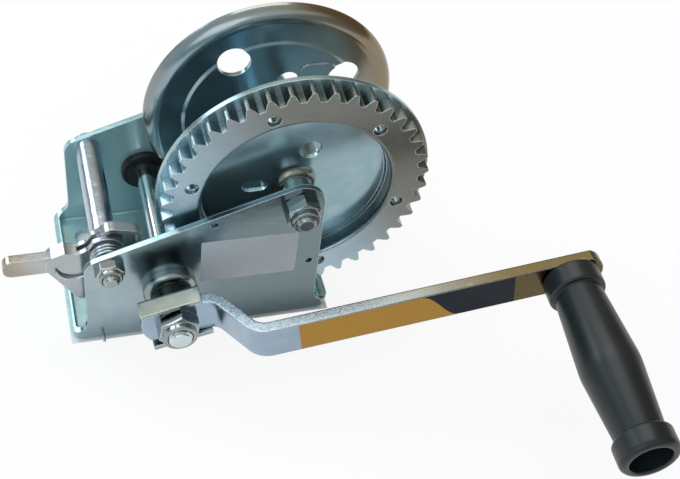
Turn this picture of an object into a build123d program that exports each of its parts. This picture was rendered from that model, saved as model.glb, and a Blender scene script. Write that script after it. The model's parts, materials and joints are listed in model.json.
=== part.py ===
"""Hand winch: a folded frame, a geared drum, a cranked pinion shaft, a turning grip and a sprung pawl.

Millimetres. X runs along the base, Y from the crank side to the far side, and Z up.
The origin is the middle of the base's underside.
"""

import os
from math import acos, asin, atan2, cos, degrees, pi, radians, sin, sqrt, tan

from build123d import *

os.makedirs("parts", exist_ok=True)

# Clearances
running_clearance = 0.05
side_clearance = 0.3
press_clearance = 0.02
bolt_clearance = 0.25

# Folded frame
sheet = 3.0
bend_radius = 4.5
frame_width = 88.0
plate_length = 120.0
plate_corner_radius = 9.0
plate_corner_height = 53.9
apex_radius = 12.5
base_overhang = 8.7
base_corner = 6.5
foot_height = 7.5
foot_sweep = 8.5
base_hole_radius = 5.25
base_hole_inset = 6.5
base_hole_spacing_y = 53.0
label_hole_radius = 1.9
label_hole_places = [(4.3, 78.8), (54.6, 43.0)]

# Axes across the frame: set in from the plates' left end, and up from the underside
tie_inset, tie_z = 12.3, 56.9
shaft_inset, shaft_z = 42.1, 37.0
mesh_angle = 36.8

# Gear pair
gear_module = 3.25
gear_teeth = 40
pinion_teeth = 10
pressure_angle = 25.0
profile_shift = 0.15
dedendum = 1.25
pinion_stub = 1.5
root_gap = 0.5
backlash = 0.3
gear_width = 7.8
gear_inset = 4.2
gear_inner_radius = 48.2
gear_inner_round = 2.2
gear_turn = -3.5
tooth_foot_share = 0.95
gear_tip_round = 0.9
gear_root_round = 0.9
pinion_tip_round = 0.4
rivet_count = 6
rivet_circle = 54.6
rivet_radius = 3.45
rivet_recess = 2.6
rivet_bore = 3.0
rivet_tail_radius = 5.0
rivet_tail = 1.5
rivet_turn = -14.0

# Drum
flange_sheet = 2.5
shroud_radius = 69.5
dish_radius = 48.0
dish_depth = 1.5
dish_slope = 1.0
hub_height = 4.0
hub_flare = 4.6
hub_sweep = 5.0
hub_side_gap = 0.4
hub_wall = 1.5
barrel_radius = 16.0
barrel_wall = 2.5
barrel_length = 48.5
slot_length, slot_width = 13.0, 7.5
slot_x, slot_z = -19.7, 0.5
anchor_hole_radius = 5.5
anchor_x, anchor_z = 7.3, 21.8
step_radius = 46.0
step_height = 1.0
step_slope = 1.5
flare_radius = 58.4
flare_bend = 8.2
flare_angle = 80.0
window_radius = 8.5
window_circle = 42.5
window_count = 4
window_turn = 30.0
pad_x, pad_z = 22.6, 22.0
pad_length, pad_height = 18.8, 19.0
pad_round = 5.0
pad_rise = 0.9
hub_bush_length = 12.0

# Drum axle
axle_radius = 5.0
axle_sleeve_radius = 6.0
axle_flats = 16.0
axle_head = 6.4
axle_nut_height = 12.0
axle_end = 1.6
axle_nut_turn = 28.0
spacer_radius = 7.7

# Tie bolt, with the tube that the pawl turns on
tie_radius = 4.0
tie_tube_radius = 6.5
tie_flats = 13.0
tie_head_radius = 7.4
tie_head = 3.0
tie_head_rim = 0.8
tie_nut_height = 8.0
tie_end = 2.4
tie_nut_turn = 8.0

# Bolt heads and lock nuts
hex_sides = 6
nut_hex_share = 0.68
nut_crown_share = 0.46
nut_crown_round = 1.0
nut_insert_height = 2.2
nut_insert_wall = 1.2
nut_lip = 0.5
nut_chamfer_angle = 30.0
thread_lead = 1.2

# Pinion shaft and its bushes
shaft_radius = 5.0
journal_radius = 6.0
pinion_gap = 0.4
far_bush_radius = 12.6
far_bush_height = 3.5
far_bush_boss = 8.6
far_bush_boss_height = 2.0
far_bush_spigot = 8.0
far_bush_round = 1.2
housing_radius = 13.8
housing_height = 6.0
housing_round = 1.8
near_bush_radius = 9.4
near_bush_flange = 12.5
near_bush_flange_height = 1.1
near_bush_sink = 1.0
circlip_radius = 7.8
circlip_height = 1.2
circlip_gap_angle = 40.0
circlip_groove_radius = 4.5
shaft_tail = 1.5

# Crank
crank_angle = 9.3
crank_stand_off = 14.9
clip_sheet = 2.6
clip_length = 30.8
clip_turn = 5.0
clip_play = 1.4
clip_flange = 8.0
clip_bend = 2.2
arm_width = 21.0
arm_hub_radius = 17.8
arm_thickness = 6.0
arm_offset = 26.2
arm_bend_start = 20.5
arm_bend_end = 37.0
arm_bend_radius = 11.0
arm_splay = 1.2
arm_reach = 195.0
arm_tail = 17.5
arm_tip_depth = 6.0
arm_edge = 0.6
shaft_collar_radius = 9.5
crank_flats = 19.0
crank_nut_height = 10.5
crank_nut_turn = 23.0
crank_end = 1.8

# Grip and its pin
grip_length = 107.8
grip_collar_radius = 14.6
grip_collar_length = 12.0
grip_end_collar_radius = 14.9
grip_end_collar_length = 12.5
grip_neck_radius = 12.2
grip_belly_radius = 15.4
grip_belly_place = 0.52
grip_belly_round = 45.0
grip_collar_round = 1.5
grip_neck_round = 0.7
grip_mouth_round = 1.0
grip_end_round = 3.0
grip_mouth_radius = 10.4
grip_mouth_depth = 16.0
pin_radius = 4.0
pin_head_radius = 7.0
pin_head_height = 3.2
pin_tail_radius = 5.8
pin_tail_height = 2.4
grip_washer_radius = 8.2
grip_washer_height = 1.4

# Pawl, in X and Z from the tie axis
pawl_sheet = 2.5
pawl_width = 8.0
pawl_hub_radius = 9.6
pawl_lobe_radius = 6.0
pawl_lobe_x, pawl_lobe_z = -11.5, -27.5
pawl_heel_radius = 7.5
pawl_heel_x, pawl_heel_z = -22.6, -6.3
pawl_saddle_x, pawl_saddle_z = -15.0, 10.0
pawl_saddle_radius = 9.0
pawl_tab_length = 20.5
pawl_tab_z = -5.7
pawl_tab_step = 0.8
pawl_tab_height = 10.7
pawl_tab_depth = 5.0
pawl_tab_round = 4.5
pawl_heel_web = 16.0
pawl_arch_x, pawl_arch_z = 3.5, 8.6
pawl_arch_radius = 5.2
pawl_brow_x, pawl_brow_z = 13.8, 6.4
pawl_brow_radius = 4.5
pawl_dog_width = 6.0
pawl_nose_reach = 23.2
pawl_nose_turn = 124.0
pawl_nose_round = 1.5
pawl_tooth_gap = 1.6

# Pawl spring
spring_wire = 1.5
spring_gap_to_tube = 0.35
spring_side_gap = 0.35
spring_extra_turns = 2
spring_start_angle = 183.3
spring_leave_angle = -63.0
spring_run = 17.5
spring_hook_radius = 9.0
spring_hook_turn = 95.0
spring_exit_z = 4.3
spring_exit_bend = 1.2
spring_exit_length = 4.5
spring_hole_gap = 0.3
spring_pitch_room = 0.5
spring_samples = 600

# Places that follow from the sizes above
near_outer = -frame_width / 2
near_inner = near_outer + sheet
far_outer = frame_width / 2
far_inner = far_outer - sheet
inner_bend = bend_radius - sheet
base_length = plate_length + 2 * base_overhang
base_hole_spacing_x = plate_length - 2 * base_hole_inset
tie_x = tie_inset - plate_length / 2
shaft_x = shaft_inset - plate_length / 2

gear_radius = gear_module * gear_teeth / 2
pinion_radius = gear_module * pinion_teeth / 2
centre_distance = gear_radius + pinion_radius
drum_x = shaft_x + centre_distance * cos(radians(mesh_angle))
drum_z = shaft_z + centre_distance * sin(radians(mesh_angle))

gear_front = near_inner + gear_inset
gear_back = gear_front + gear_width
shroud_back = gear_back + flange_sheet
floor_front = gear_back + dish_depth
barrel_near = floor_front + flange_sheet
barrel_far = barrel_near + barrel_length
far_flange_back = barrel_far + flange_sheet
hub_tip = floor_front - hub_height
hub_bore = axle_sleeve_radius + hub_side_gap
sleeve_bore = axle_radius + bolt_clearance / 2

pinion_near = near_inner + near_bush_flange_height + side_clearance
pinion_far = gear_back - pinion_gap

clip_back = near_outer - crank_stand_off
arm_back = clip_back - clip_sheet
arm_front = arm_back - arm_thickness
arm_end = arm_reach + arm_tail
hub_line = arm_back - arm_thickness / 2
run_line = hub_line - arm_offset
shaft_near_end = arm_front - crank_nut_height - crank_end

pin_x = shaft_x + arm_reach * cos(radians(crank_angle))
pin_y = run_line - (arm_reach - arm_bend_end) * tan(radians(arm_splay))
pin_z = shaft_z + arm_reach * sin(radians(crank_angle))
bar_half = arm_thickness / 2
grip_far = -bar_half - side_clearance
grip_near = grip_far - grip_length
mouth_floor = grip_near + grip_mouth_depth

spring_radius = tie_tube_radius + spring_gap_to_tube + spring_wire / 2
spring_near = near_inner + spring_side_gap + spring_wire / 2
spring_turns = spring_extra_turns + (spring_start_angle - spring_leave_angle) / 360
spring_far = spring_near + spring_turns * (spring_wire + spring_pitch_room)
pawl_near = spring_far + spring_wire / 2 + spring_side_gap
pawl_far = pawl_near + pawl_width
spring_start = radians(spring_start_angle)
spring_leg_drop = tie_z + spring_radius * sin(spring_start) - spring_exit_z
spring_exit_x = tie_x + spring_radius * cos(spring_start) + spring_leg_drop * tan(spring_start)


def near_plane(x, z, y, turn=0.0):
    """Plane square to Y at (x, y, z) that faces the crank side, with its X turned up by turn degrees."""
    return Plane(origin=(x, y, z), x_dir=(cos(radians(turn)), 0, sin(radians(turn))), z_dir=(0, -1, 0))


def section_plane(x, z, turn=0.0):
    """Plane through the Y axis at (x, z): its X is the radius and its Y is the model's Y."""
    side = radians(turn)
    return Plane(origin=(x, 0, z), x_dir=(cos(side), 0, sin(side)), z_dir=(-sin(side), 0, cos(side)))


def y_axis(x, z):
    """Axis along Y at (x, z)."""
    return Axis((x, 0, z), (0, 1, 0))


def tube(x, z, bore, radius, near, far):
    """Plain tube along Y between two places."""
    with BuildPart() as piece:
        with BuildSketch(near_plane(x, z, far)):
            Circle(radius)
            Circle(bore, mode=Mode.SUBTRACT)
        extrude(amount=far - near)
    return piece.part


def turned(section, corners):
    """Solid of revolution about a section plane's Y, from corners of radius and place along it."""
    with BuildPart() as piece:
        with BuildSketch(section):
            with BuildLine():
                Polyline(*corners, close=True)
            make_face()
        revolve(axis=Axis(section.origin, section.y_dir))
    return piece.part


def hex_bolt(x, z, radius, flats, head, seat, end):
    """Hexagon bolt whose head sits on the face at seat and whose shank runs to end on the crank side."""
    corner = flats / 2 / cos(pi / hex_sides)
    drop = (corner - flats / 2) * tan(radians(nut_chamfer_angle))
    with BuildPart() as bolt:
        with BuildSketch(near_plane(x, z, seat + head)):
            RegularPolygon(flats / 2, hex_sides, major_radius=False)
        extrude(amount=head)
        with BuildSketch(section_plane(x, z)):
            with BuildLine():
                Polyline(
                    (0, seat), (corner, seat), (corner, seat + head - drop),
                    (flats / 2, seat + head), (0, seat + head), close=True,
                )
            make_face()
        revolve(axis=y_axis(x, z), mode=Mode.INTERSECT)
        with BuildSketch(near_plane(x, z, seat)):
            Circle(radius)
        extrude(amount=seat - end)
        chamfer(bolt.faces().sort_by(Axis.Y)[0].edges(), thread_lead)
    return bolt.part


def cup_bolt(x, z, radius, head_radius, head, rim, seat, end):
    """Bolt with a low cup head on the face at seat, whose shank runs to end on the crank side."""
    rise = head - rim
    dome = (head_radius**2 + rise**2) / (2 * rise)
    swing = asin(head_radius / dome) / 2
    crest = (dome * sin(swing), seat + head - dome + dome * cos(swing))
    with BuildPart() as bolt:
        with BuildSketch(section_plane(x, z)):
            with BuildLine():
                Polyline(
                    (0, seat + head), (0, end), (radius - thread_lead, end), (radius, end + thread_lead),
                    (radius, seat), (head_radius, seat), (head_radius, seat + rim),
                )
                ThreePointArc((head_radius, seat + rim), crest, (0, seat + head))
            make_face()
        revolve(axis=y_axis(x, z))
    return bolt.part


def lock_nut(x, z, radius, flats, height, seat, turn=0.0):
    """Lock nut with a round crown, on the crank side of the face at seat."""
    corner = flats / 2 / cos(pi / hex_sides)
    drop = (corner - flats / 2) * tan(radians(nut_chamfer_angle))
    hex_top = seat - height * nut_hex_share
    crown_radius = flats * nut_crown_share
    crown_top = seat - height
    insert_floor = crown_top + nut_lip + nut_insert_height
    with BuildPart() as nut:
        with BuildSketch(near_plane(x, z, seat, turn)):
            RegularPolygon(flats / 2, hex_sides, major_radius=False)
        extrude(amount=seat - hex_top)
        with BuildSketch(section_plane(x, z)):
            with BuildLine():
                Polyline(
                    (0, seat), (flats / 2, seat), (corner, seat - drop), (corner, hex_top + drop),
                    (flats / 2, hex_top), (0, hex_top), close=True,
                )
            make_face()
        revolve(axis=y_axis(x, z), mode=Mode.INTERSECT)
        with BuildSketch(near_plane(x, z, hex_top)):
            Circle(crown_radius)
        extrude(amount=hex_top - crown_top)
        fillet(nut.faces().sort_by(Axis.Y)[0].edges(), nut_crown_round)
        with BuildSketch(near_plane(x, z, seat)):
            Circle(radius + press_clearance)
        extrude(amount=height, mode=Mode.SUBTRACT)
        with BuildSketch(near_plane(x, z, insert_floor)):
            Circle(radius + nut_insert_wall)
        extrude(amount=nut_insert_height, mode=Mode.SUBTRACT)
        with BuildSketch(near_plane(x, z, crown_top + nut_lip)):
            Circle(radius + nut_insert_wall - nut_lip)
        extrude(amount=nut_lip, mode=Mode.SUBTRACT)
    ring = tube(
        x, z, radius + press_clearance, radius + nut_insert_wall - press_clearance,
        crown_top + nut_lip + press_clearance, insert_floor,
    )
    return nut.part, ring


def save(part, name):
    """Label one piece and write it under its name."""
    part.label = name
    export_step(part, f"parts/{name}.step")


# Frame: a drawn tray whose ends stay low as lips and whose sides rise into the plates, with swept feet
with BuildPart() as frame:
    tray_top = drum_z + apex_radius
    plate_corner = (plate_corner_radius - plate_length / 2, plate_corner_height)
    with BuildSketch():
        RectangleRounded(base_length, frame_width, base_corner)
    extrude(amount=tray_top)
    fillet(frame.faces().sort_by(Axis.Z)[0].edges(), bend_radius)
    with BuildPart(mode=Mode.PRIVATE) as hollow:
        with BuildSketch(Plane.XY.offset(sheet)):
            RectangleRounded(base_length - 2 * sheet, frame_width - 2 * sheet, base_corner - sheet)
        extrude(amount=tray_top - sheet)
        fillet(hollow.faces().sort_by(Axis.Z)[0].edges(), inner_bend)
    add(hollow.part, mode=Mode.SUBTRACT)
    with BuildSketch(near_plane(0, 0, far_outer)) as side:
        with BuildLine():
            CenterArc((drum_x, drum_z), apex_radius, 0, 360)
            CenterArc(plate_corner, plate_corner_radius, 0, 360)
            Line((-plate_length / 2, 0), (plate_length / 2, 0))
        make_hull()
        with Locations((0, foot_height / 2)):
            Rectangle(base_length, foot_height)
        for foot_x in (-plate_length / 2, plate_length / 2):
            fillet(side.vertices().sort_by_distance((foot_x, foot_height))[0], foot_sweep)
    extrude(amount=frame_width, mode=Mode.INTERSECT)
    with BuildSketch(Plane.XY):
        with GridLocations(base_hole_spacing_x, base_hole_spacing_y, 2, 2):
            Circle(base_hole_radius)
    extrude(amount=sheet, mode=Mode.SUBTRACT)
    with BuildSketch(near_plane(0, 0, far_outer)):
        with Locations((drum_x, drum_z)):
            Circle(axle_radius + bolt_clearance)
        with Locations((tie_x, tie_z)):
            Circle(tie_radius + bolt_clearance)
    extrude(amount=frame_width, mode=Mode.SUBTRACT)
    with BuildSketch(near_plane(shaft_x, shaft_z, far_outer)):
        Circle(far_bush_spigot + press_clearance)
    extrude(amount=sheet, mode=Mode.SUBTRACT)
    with BuildSketch(near_plane(0, 0, near_inner)):
        with Locations((shaft_x, shaft_z)):
            Circle(near_bush_radius + press_clearance)
        with Locations(*label_hole_places):
            Circle(label_hole_radius)
    extrude(amount=sheet, mode=Mode.SUBTRACT)
    with BuildSketch(near_plane(spring_exit_x, spring_exit_z, near_inner + inner_bend)):
        Circle(spring_wire / 2 + spring_hole_gap)
    extrude(amount=sheet + inner_bend, mode=Mode.SUBTRACT)
save(frame.part, "frame")

# Drum axle: a through bolt that clamps a sleeve between the side plates
axle_bolt_end = near_outer - axle_nut_height - axle_end
axle_bolt = hex_bolt(drum_x, drum_z, axle_radius, axle_flats, axle_head, far_outer, axle_bolt_end)
save(axle_bolt, "drum_axle_bolt")
axle_nut, axle_ring = lock_nut(
    drum_x, drum_z, axle_radius, axle_flats, axle_nut_height, near_outer, axle_nut_turn
)
save(axle_nut, "drum_axle_nut")
save(axle_ring, "drum_axle_nut_ring")
save(tube(drum_x, drum_z, sleeve_bore, axle_sleeve_radius, near_inner, far_inner), "drum_axle_sleeve")
spacer_bore = axle_sleeve_radius + running_clearance
near_spacer = tube(drum_x, drum_z, spacer_bore, spacer_radius, near_inner, hub_tip - side_clearance)
save(near_spacer, "drum_near_spacer")
far_spacer = tube(drum_x, drum_z, spacer_bore, spacer_radius, far_flange_back + side_clearance, far_inner)
save(far_spacer, "drum_far_spacer")

# Tie bolt and its tube
tie_bolt_end = near_outer - tie_nut_height - tie_end
tie_bolt = cup_bolt(
    tie_x, tie_z, tie_radius, tie_head_radius, tie_head, tie_head_rim, far_outer, tie_bolt_end
)
save(tie_bolt, "tie_bolt")
tie_nut, tie_ring = lock_nut(
    tie_x, tie_z, tie_radius, tie_flats, tie_nut_height, near_outer, tie_nut_turn
)
save(tie_nut, "tie_nut")
save(tie_ring, "tie_nut_ring")
tie_bore = tie_radius + bolt_clearance
save(tube(tie_x, tie_z, tie_bore, tie_tube_radius, near_inner, far_inner), "tie_tube")

# Shaft bushes in the side plates
with BuildPart() as far_bush:
    with BuildSketch(near_plane(shaft_x, shaft_z, far_inner)):
        Circle(far_bush_radius)
    extrude(amount=far_bush_height)
    fillet(far_bush.faces().sort_by(Axis.Y)[0].edges(), far_bush_round)
    with BuildSketch(near_plane(shaft_x, shaft_z, far_inner - far_bush_height)):
        Circle(far_bush_boss)
    extrude(amount=far_bush_boss_height)
    with BuildSketch(near_plane(shaft_x, shaft_z, far_outer)):
        Circle(far_bush_spigot)
    extrude(amount=sheet)
    with BuildSketch(near_plane(shaft_x, shaft_z, far_outer)):
        Circle(shaft_radius + running_clearance)
    extrude(amount=sheet + far_bush_height + far_bush_boss_height, mode=Mode.SUBTRACT)
save(far_bush.part, "far_shaft_bush")

with BuildPart() as housing:
    with BuildSketch(near_plane(shaft_x, shaft_z, near_outer)):
        Circle(housing_radius)
    extrude(amount=housing_height)
    fillet(housing.faces().sort_by(Axis.Y)[0].edges(), housing_round)
    with BuildSketch(near_plane(shaft_x, shaft_z, near_outer)):
        Circle(near_bush_radius + press_clearance)
    extrude(amount=housing_height, mode=Mode.SUBTRACT)
save(housing.part, "near_bush_housing")

near_bush_end = near_outer - housing_height + near_bush_sink
near_bush = turned(section_plane(shaft_x, shaft_z), [
    (journal_radius + running_clearance, near_bush_end), (near_bush_radius, near_bush_end),
    (near_bush_radius, near_inner), (near_bush_flange, near_inner),
    (near_bush_flange, near_inner + near_bush_flange_height),
    (journal_radius + running_clearance, near_inner + near_bush_flange_height),
])
save(near_bush, "near_shaft_bush")


def tooth(teeth, shift, tip, root):
    """Corner points of one tooth about local X, with three points on each involute flank."""
    pitch_radius = gear_module * teeth / 2
    base = pitch_radius * cos(radians(pressure_angle))
    start = max(base, root)
    roll = tan(radians(pressure_angle)) - radians(pressure_angle)
    half = (pi / 2 + 2 * shift * tan(radians(pressure_angle))) / teeth - backlash / 4 / pitch_radius

    def flank(radius):
        turn = acos(min(1.0, base / radius))
        angle = half + roll - (tan(turn) - turn)
        return radius * cos(angle), radius * sin(angle)

    return [flank(start), flank((start + tip) / 2), flank(tip)]


def toothed(teeth, shift, tip, root, turn, tip_round):
    """Gear outline on the current sketch: the root disc and its teeth, whose tips are rounded."""
    low, middle, high = tooth(teeth, shift, tip, root)
    inside = root * tooth_foot_share
    low_angle = atan2(low[1], low[0])
    foot = (inside * cos(low_angle), inside * sin(low_angle))
    Circle(root)
    with BuildSketch(mode=Mode.PRIVATE) as one:
        with BuildLine():
            Line(foot, low)
            ThreePointArc(low, middle, high)
            ThreePointArc(high, (tip, 0), (high[0], -high[1]))
            ThreePointArc((high[0], -high[1]), (middle[0], -middle[1]), (low[0], -low[1]))
            Line((low[0], -low[1]), (foot[0], -foot[1]))
            Line((foot[0], -foot[1]), foot)
        make_face()
        fillet(one.vertices().sort_by_distance((tip, 0))[:2], tip_round)
    with PolarLocations(0, teeth, start_angle=turn):
        add(one.sketch)


# Ring gear on the near flange, turned so that a tooth meets the short teeth of the pinion
pinion_tip = pinion_radius + (1 + profile_shift) * gear_module - pinion_stub
gear_tip = gear_radius + (1 - profile_shift) * gear_module
gear_root = centre_distance - pinion_tip - root_gap
with BuildPart() as gear:
    with BuildSketch(near_plane(drum_x, drum_z, gear_back)) as gear_outline:
        toothed(gear_teeth, -profile_shift, gear_tip, gear_root, mesh_angle + 180 + gear_turn, gear_tip_round)
        fillet(gear_outline.vertices().sort_by_distance((0, 0))[: 2 * gear_teeth], gear_root_round)
        Circle(gear_inner_radius, mode=Mode.SUBTRACT)
        with PolarLocations(rivet_circle, rivet_count, start_angle=rivet_turn):
            Circle(rivet_radius + press_clearance, mode=Mode.SUBTRACT)
    extrude(amount=gear_width)
    gear_face = gear.faces().sort_by(Axis.Y)[0]
    fillet(gear_face.inner_wires().sort_by(SortBy.LENGTH)[-1].edges(), gear_inner_round)
save(gear.part, "drum_gear")

# Hollow rivets that hold the gear on the flange
with BuildPart() as rivets:
    rivet_front = gear_front + rivet_recess
    with BuildSketch(near_plane(drum_x, drum_z, shroud_back)):
        with PolarLocations(rivet_circle, rivet_count, start_angle=rivet_turn):
            Circle(rivet_radius)
    extrude(amount=shroud_back - rivet_front)
    with BuildSketch(near_plane(drum_x, drum_z, shroud_back + rivet_tail)):
        with PolarLocations(rivet_circle, rivet_count, start_angle=rivet_turn):
            Circle(rivet_tail_radius)
    extrude(amount=rivet_tail)
    with BuildSketch(near_plane(drum_x, drum_z, shroud_back + rivet_tail)):
        with PolarLocations(rivet_circle, rivet_count, start_angle=rivet_turn):
            Circle(rivet_bore)
    extrude(amount=shroud_back + rivet_tail - rivet_front, mode=Mode.SUBTRACT)
save(rivets.part, "gear_rivets")

# Near flange: a flat rim behind the gear, a dished floor and a drawn hub
with BuildPart() as near_flange:
    hub_outer = hub_bore + hub_wall
    with BuildSketch(section_plane(drum_x, drum_z)):
        with BuildLine():
            Polyline(
                (hub_outer + hub_flare, floor_front), (dish_radius - dish_slope, floor_front),
                (dish_radius, gear_back), (shroud_radius, gear_back), (shroud_radius, shroud_back),
                (dish_radius - flange_sheet / 2, shroud_back),
                (dish_radius - dish_slope - flange_sheet / 2, barrel_near),
                (hub_bore, barrel_near), (hub_bore, hub_tip), (hub_outer, hub_tip),
            )
            RadiusArc((hub_outer, hub_tip), (hub_outer + hub_flare, floor_front), hub_sweep)
        make_face()
    revolve(axis=y_axis(drum_x, drum_z))
    with BuildSketch(near_plane(drum_x, drum_z, barrel_near)):
        with Locations((slot_x, slot_z)):
            SlotOverall(slot_length, slot_width)
        with Locations((anchor_x, anchor_z)):
            Circle(anchor_hole_radius)
        with PolarLocations(rivet_circle, rivet_count, start_angle=rivet_turn):
            Circle(rivet_radius + press_clearance)
    extrude(amount=barrel_near - gear_back, mode=Mode.SUBTRACT)
save(near_flange.part, "near_flange")

save(tube(drum_x, drum_z, barrel_radius - barrel_wall, barrel_radius, barrel_near, barrel_far), "drum_barrel")

# Far flange: a flat floor with a shallow step and a rim that curls outwards
with BuildPart() as far_flange:
    curl_front = barrel_far + step_height
    curl_back = curl_front + flange_sheet
    curl_centre = curl_front + flare_bend
    curl = radians(flare_angle)
    inner_curl = flare_bend - flange_sheet
    rim = (flare_radius + flare_bend * sin(curl), curl_centre - flare_bend * cos(curl))
    rim_back = (flare_radius + inner_curl * sin(curl), curl_centre - inner_curl * cos(curl))
    with BuildSketch(section_plane(drum_x, drum_z)):
        with BuildLine():
            Polyline(
                (hub_bore, far_flange_back), (hub_bore, barrel_far), (step_radius, barrel_far),
                (step_radius + step_slope, curl_front), (flare_radius, curl_front),
            )
            CenterArc((flare_radius, curl_centre), flare_bend, -90, flare_angle)
            Line(rim, rim_back)
            CenterArc((flare_radius, curl_centre), inner_curl, -90, flare_angle)
            Polyline(
                (flare_radius, curl_back), (step_radius + step_slope, curl_back),
                (step_radius, far_flange_back), (hub_bore, far_flange_back),
            )
        make_face()
    revolve(axis=y_axis(drum_x, drum_z))
    with BuildSketch(near_plane(drum_x, drum_z, far_flange_back)):
        with Locations((pad_x, pad_z)):
            RectangleRounded(pad_length, pad_height, pad_round)
    extrude(amount=flange_sheet + pad_rise)
    with BuildSketch(near_plane(drum_x, drum_z, far_flange_back + step_height)):
        with PolarLocations(window_circle, window_count, start_angle=window_turn):
            Circle(window_radius)
        with Locations((anchor_x, anchor_z)):
            Circle(anchor_hole_radius)
    extrude(amount=flange_sheet + step_height + pad_rise, mode=Mode.SUBTRACT)
save(far_flange.part, "far_flange")

bush_radius = barrel_radius - barrel_wall - press_clearance
bush_bore = axle_sleeve_radius + running_clearance
near_hub_bush = tube(drum_x, drum_z, bush_bore, bush_radius, barrel_near, barrel_near + hub_bush_length)
save(near_hub_bush, "near_hub_bush")
far_hub_bush = tube(drum_x, drum_z, bush_bore, bush_radius, barrel_far - hub_bush_length, barrel_far)
save(far_hub_bush, "far_hub_bush")

# Pinion, with a tooth space towards the gear tooth it meets
pinion_root = pinion_radius - (dedendum - profile_shift) * gear_module
pinion_turn = mesh_angle + 180 / pinion_teeth - gear_turn * gear_teeth / pinion_teeth
with BuildPart() as pinion:
    with BuildSketch(near_plane(shaft_x, shaft_z, pinion_far)):
        toothed(pinion_teeth, profile_shift, pinion_tip, pinion_root, pinion_turn, pinion_tip_round)
        Circle(journal_radius + press_clearance, mode=Mode.SUBTRACT)
    extrude(amount=pinion_far - pinion_near)
save(pinion.part, "drive_pinion")

groove_near = far_outer + side_clearance
groove_far = groove_near + circlip_height + press_clearance
shaft_far_end = groove_far + shaft_tail
pinion_shaft = turned(section_plane(shaft_x, shaft_z), [
    (0, shaft_far_end), (shaft_radius - press_clearance, shaft_far_end),
    (shaft_radius - press_clearance, groove_far), (circlip_groove_radius, groove_far),
    (circlip_groove_radius, groove_near), (shaft_radius, groove_near), (shaft_radius, pinion_far),
    (journal_radius, pinion_far), (journal_radius, shaft_near_end + thread_lead),
    (journal_radius - thread_lead, shaft_near_end), (0, shaft_near_end),
])
save(pinion_shaft, "pinion_shaft")

with BuildPart() as circlip:
    with BuildSketch(near_plane(shaft_x, shaft_z, groove_near + circlip_height)):
        Circle(circlip_radius)
        Circle(circlip_groove_radius + press_clearance, mode=Mode.SUBTRACT)
        gap_half = radians(circlip_gap_angle / 2)
        gap_reach = 2 * circlip_radius
        with BuildLine():
            Polyline(
                (0, 0), (gap_reach * sin(gap_half), gap_reach * cos(gap_half)),
                (-gap_reach * sin(gap_half), gap_reach * cos(gap_half)), close=True,
            )
        make_face(mode=Mode.SUBTRACT)
    extrude(amount=circlip_height)
save(circlip.part, "shaft_circlip")

# Collar on the shaft between the near bush and the crank clip
collar_far = near_outer - housing_height - side_clearance
save(
    tube(shaft_x, shaft_z, journal_radius + press_clearance, shaft_collar_radius, clip_back, collar_far),
    "shaft_collar",
)

# Crank clip: a short channel that keeps the arm from turning on the shaft
with BuildPart() as clip:
    clip_inside = arm_width + 2 * clip_play
    clip_outside = clip_inside + 2 * clip_sheet
    clip_angle = crank_angle + clip_turn
    with BuildSketch(near_plane(shaft_x, shaft_z, clip_back, clip_angle)):
        Rectangle(clip_length, clip_outside)
    extrude(amount=clip_sheet + clip_flange)
    with BuildSketch(near_plane(shaft_x, shaft_z, arm_back, clip_angle)):
        Rectangle(clip_length, clip_inside)
    extrude(amount=clip_flange, mode=Mode.SUBTRACT)
    clip_corners = clip.faces().sort_by(Axis.Y)[-1].edges().sort_by(SortBy.LENGTH)[-2:]
    fillet(clip_corners, clip_bend)
    with BuildSketch(near_plane(shaft_x, shaft_z, clip_back)):
        Circle(journal_radius + press_clearance)
    extrude(amount=clip_sheet, mode=Mode.SUBTRACT)
save(clip.part, "crank_clip")

# Crank arm: a flat bar, joggled outwards past the frame, with a run that leans out and rounded ends
arm_section = section_plane(shaft_x, shaft_z, crank_angle)
run_end_line = run_line - (arm_end - arm_bend_end) * tan(radians(arm_splay))
run_way = arm_section.x_dir * cos(radians(arm_splay)) - Vector(0, sin(radians(arm_splay)), 0)
pin_section = Plane(origin=(pin_x, pin_y, pin_z), x_dir=run_way, z_dir=arm_section.z_dir)
pin_plane = Plane(origin=pin_section.origin, x_dir=run_way, z_dir=-pin_section.y_dir)
with BuildPart() as arm:
    hub_end = -arm_hub_radius
    hub_corner = -sqrt(arm_hub_radius**2 - (arm_width / 2) ** 2)
    with BuildLine(arm_section) as bar_path:
        FilletPolyline(
            (hub_end, hub_line), (arm_bend_start, hub_line),
            (arm_bend_end, run_line), (arm_end, run_end_line),
            radius=arm_bend_radius,
        )
    bar_start = Plane(
        origin=arm_section.from_local_coords((hub_end, hub_line, 0)),
        x_dir=(0, 1, 0), z_dir=arm_section.x_dir,
    )
    with BuildSketch(bar_start):
        Rectangle(arm_thickness, arm_width)
    sweep(path=bar_path.wire())
    with BuildSketch(near_plane(shaft_x, shaft_z, arm_back, crank_angle)):
        tip_start = arm_end - arm_tip_depth
        with BuildLine():
            Line((hub_corner, arm_width / 2), (tip_start, arm_width / 2))
            ThreePointArc((tip_start, arm_width / 2), (arm_end, 0), (tip_start, -arm_width / 2))
            Line((tip_start, -arm_width / 2), (hub_corner, -arm_width / 2))
            ThreePointArc((hub_corner, -arm_width / 2), (hub_end, 0), (hub_corner, arm_width / 2))
        make_face()
    extrude(amount=arm_back - run_end_line + arm_thickness, mode=Mode.INTERSECT)
    fillet(arm.edges(), arm_edge)
    with BuildSketch(near_plane(shaft_x, shaft_z, arm_back)):
        Circle(journal_radius + press_clearance)
    extrude(amount=arm_thickness, mode=Mode.SUBTRACT)
    with BuildSketch(pin_plane):
        Circle(pin_radius + press_clearance)
    extrude(amount=arm_thickness, both=True, mode=Mode.SUBTRACT)
save(arm.part, "crank_arm")

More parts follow.
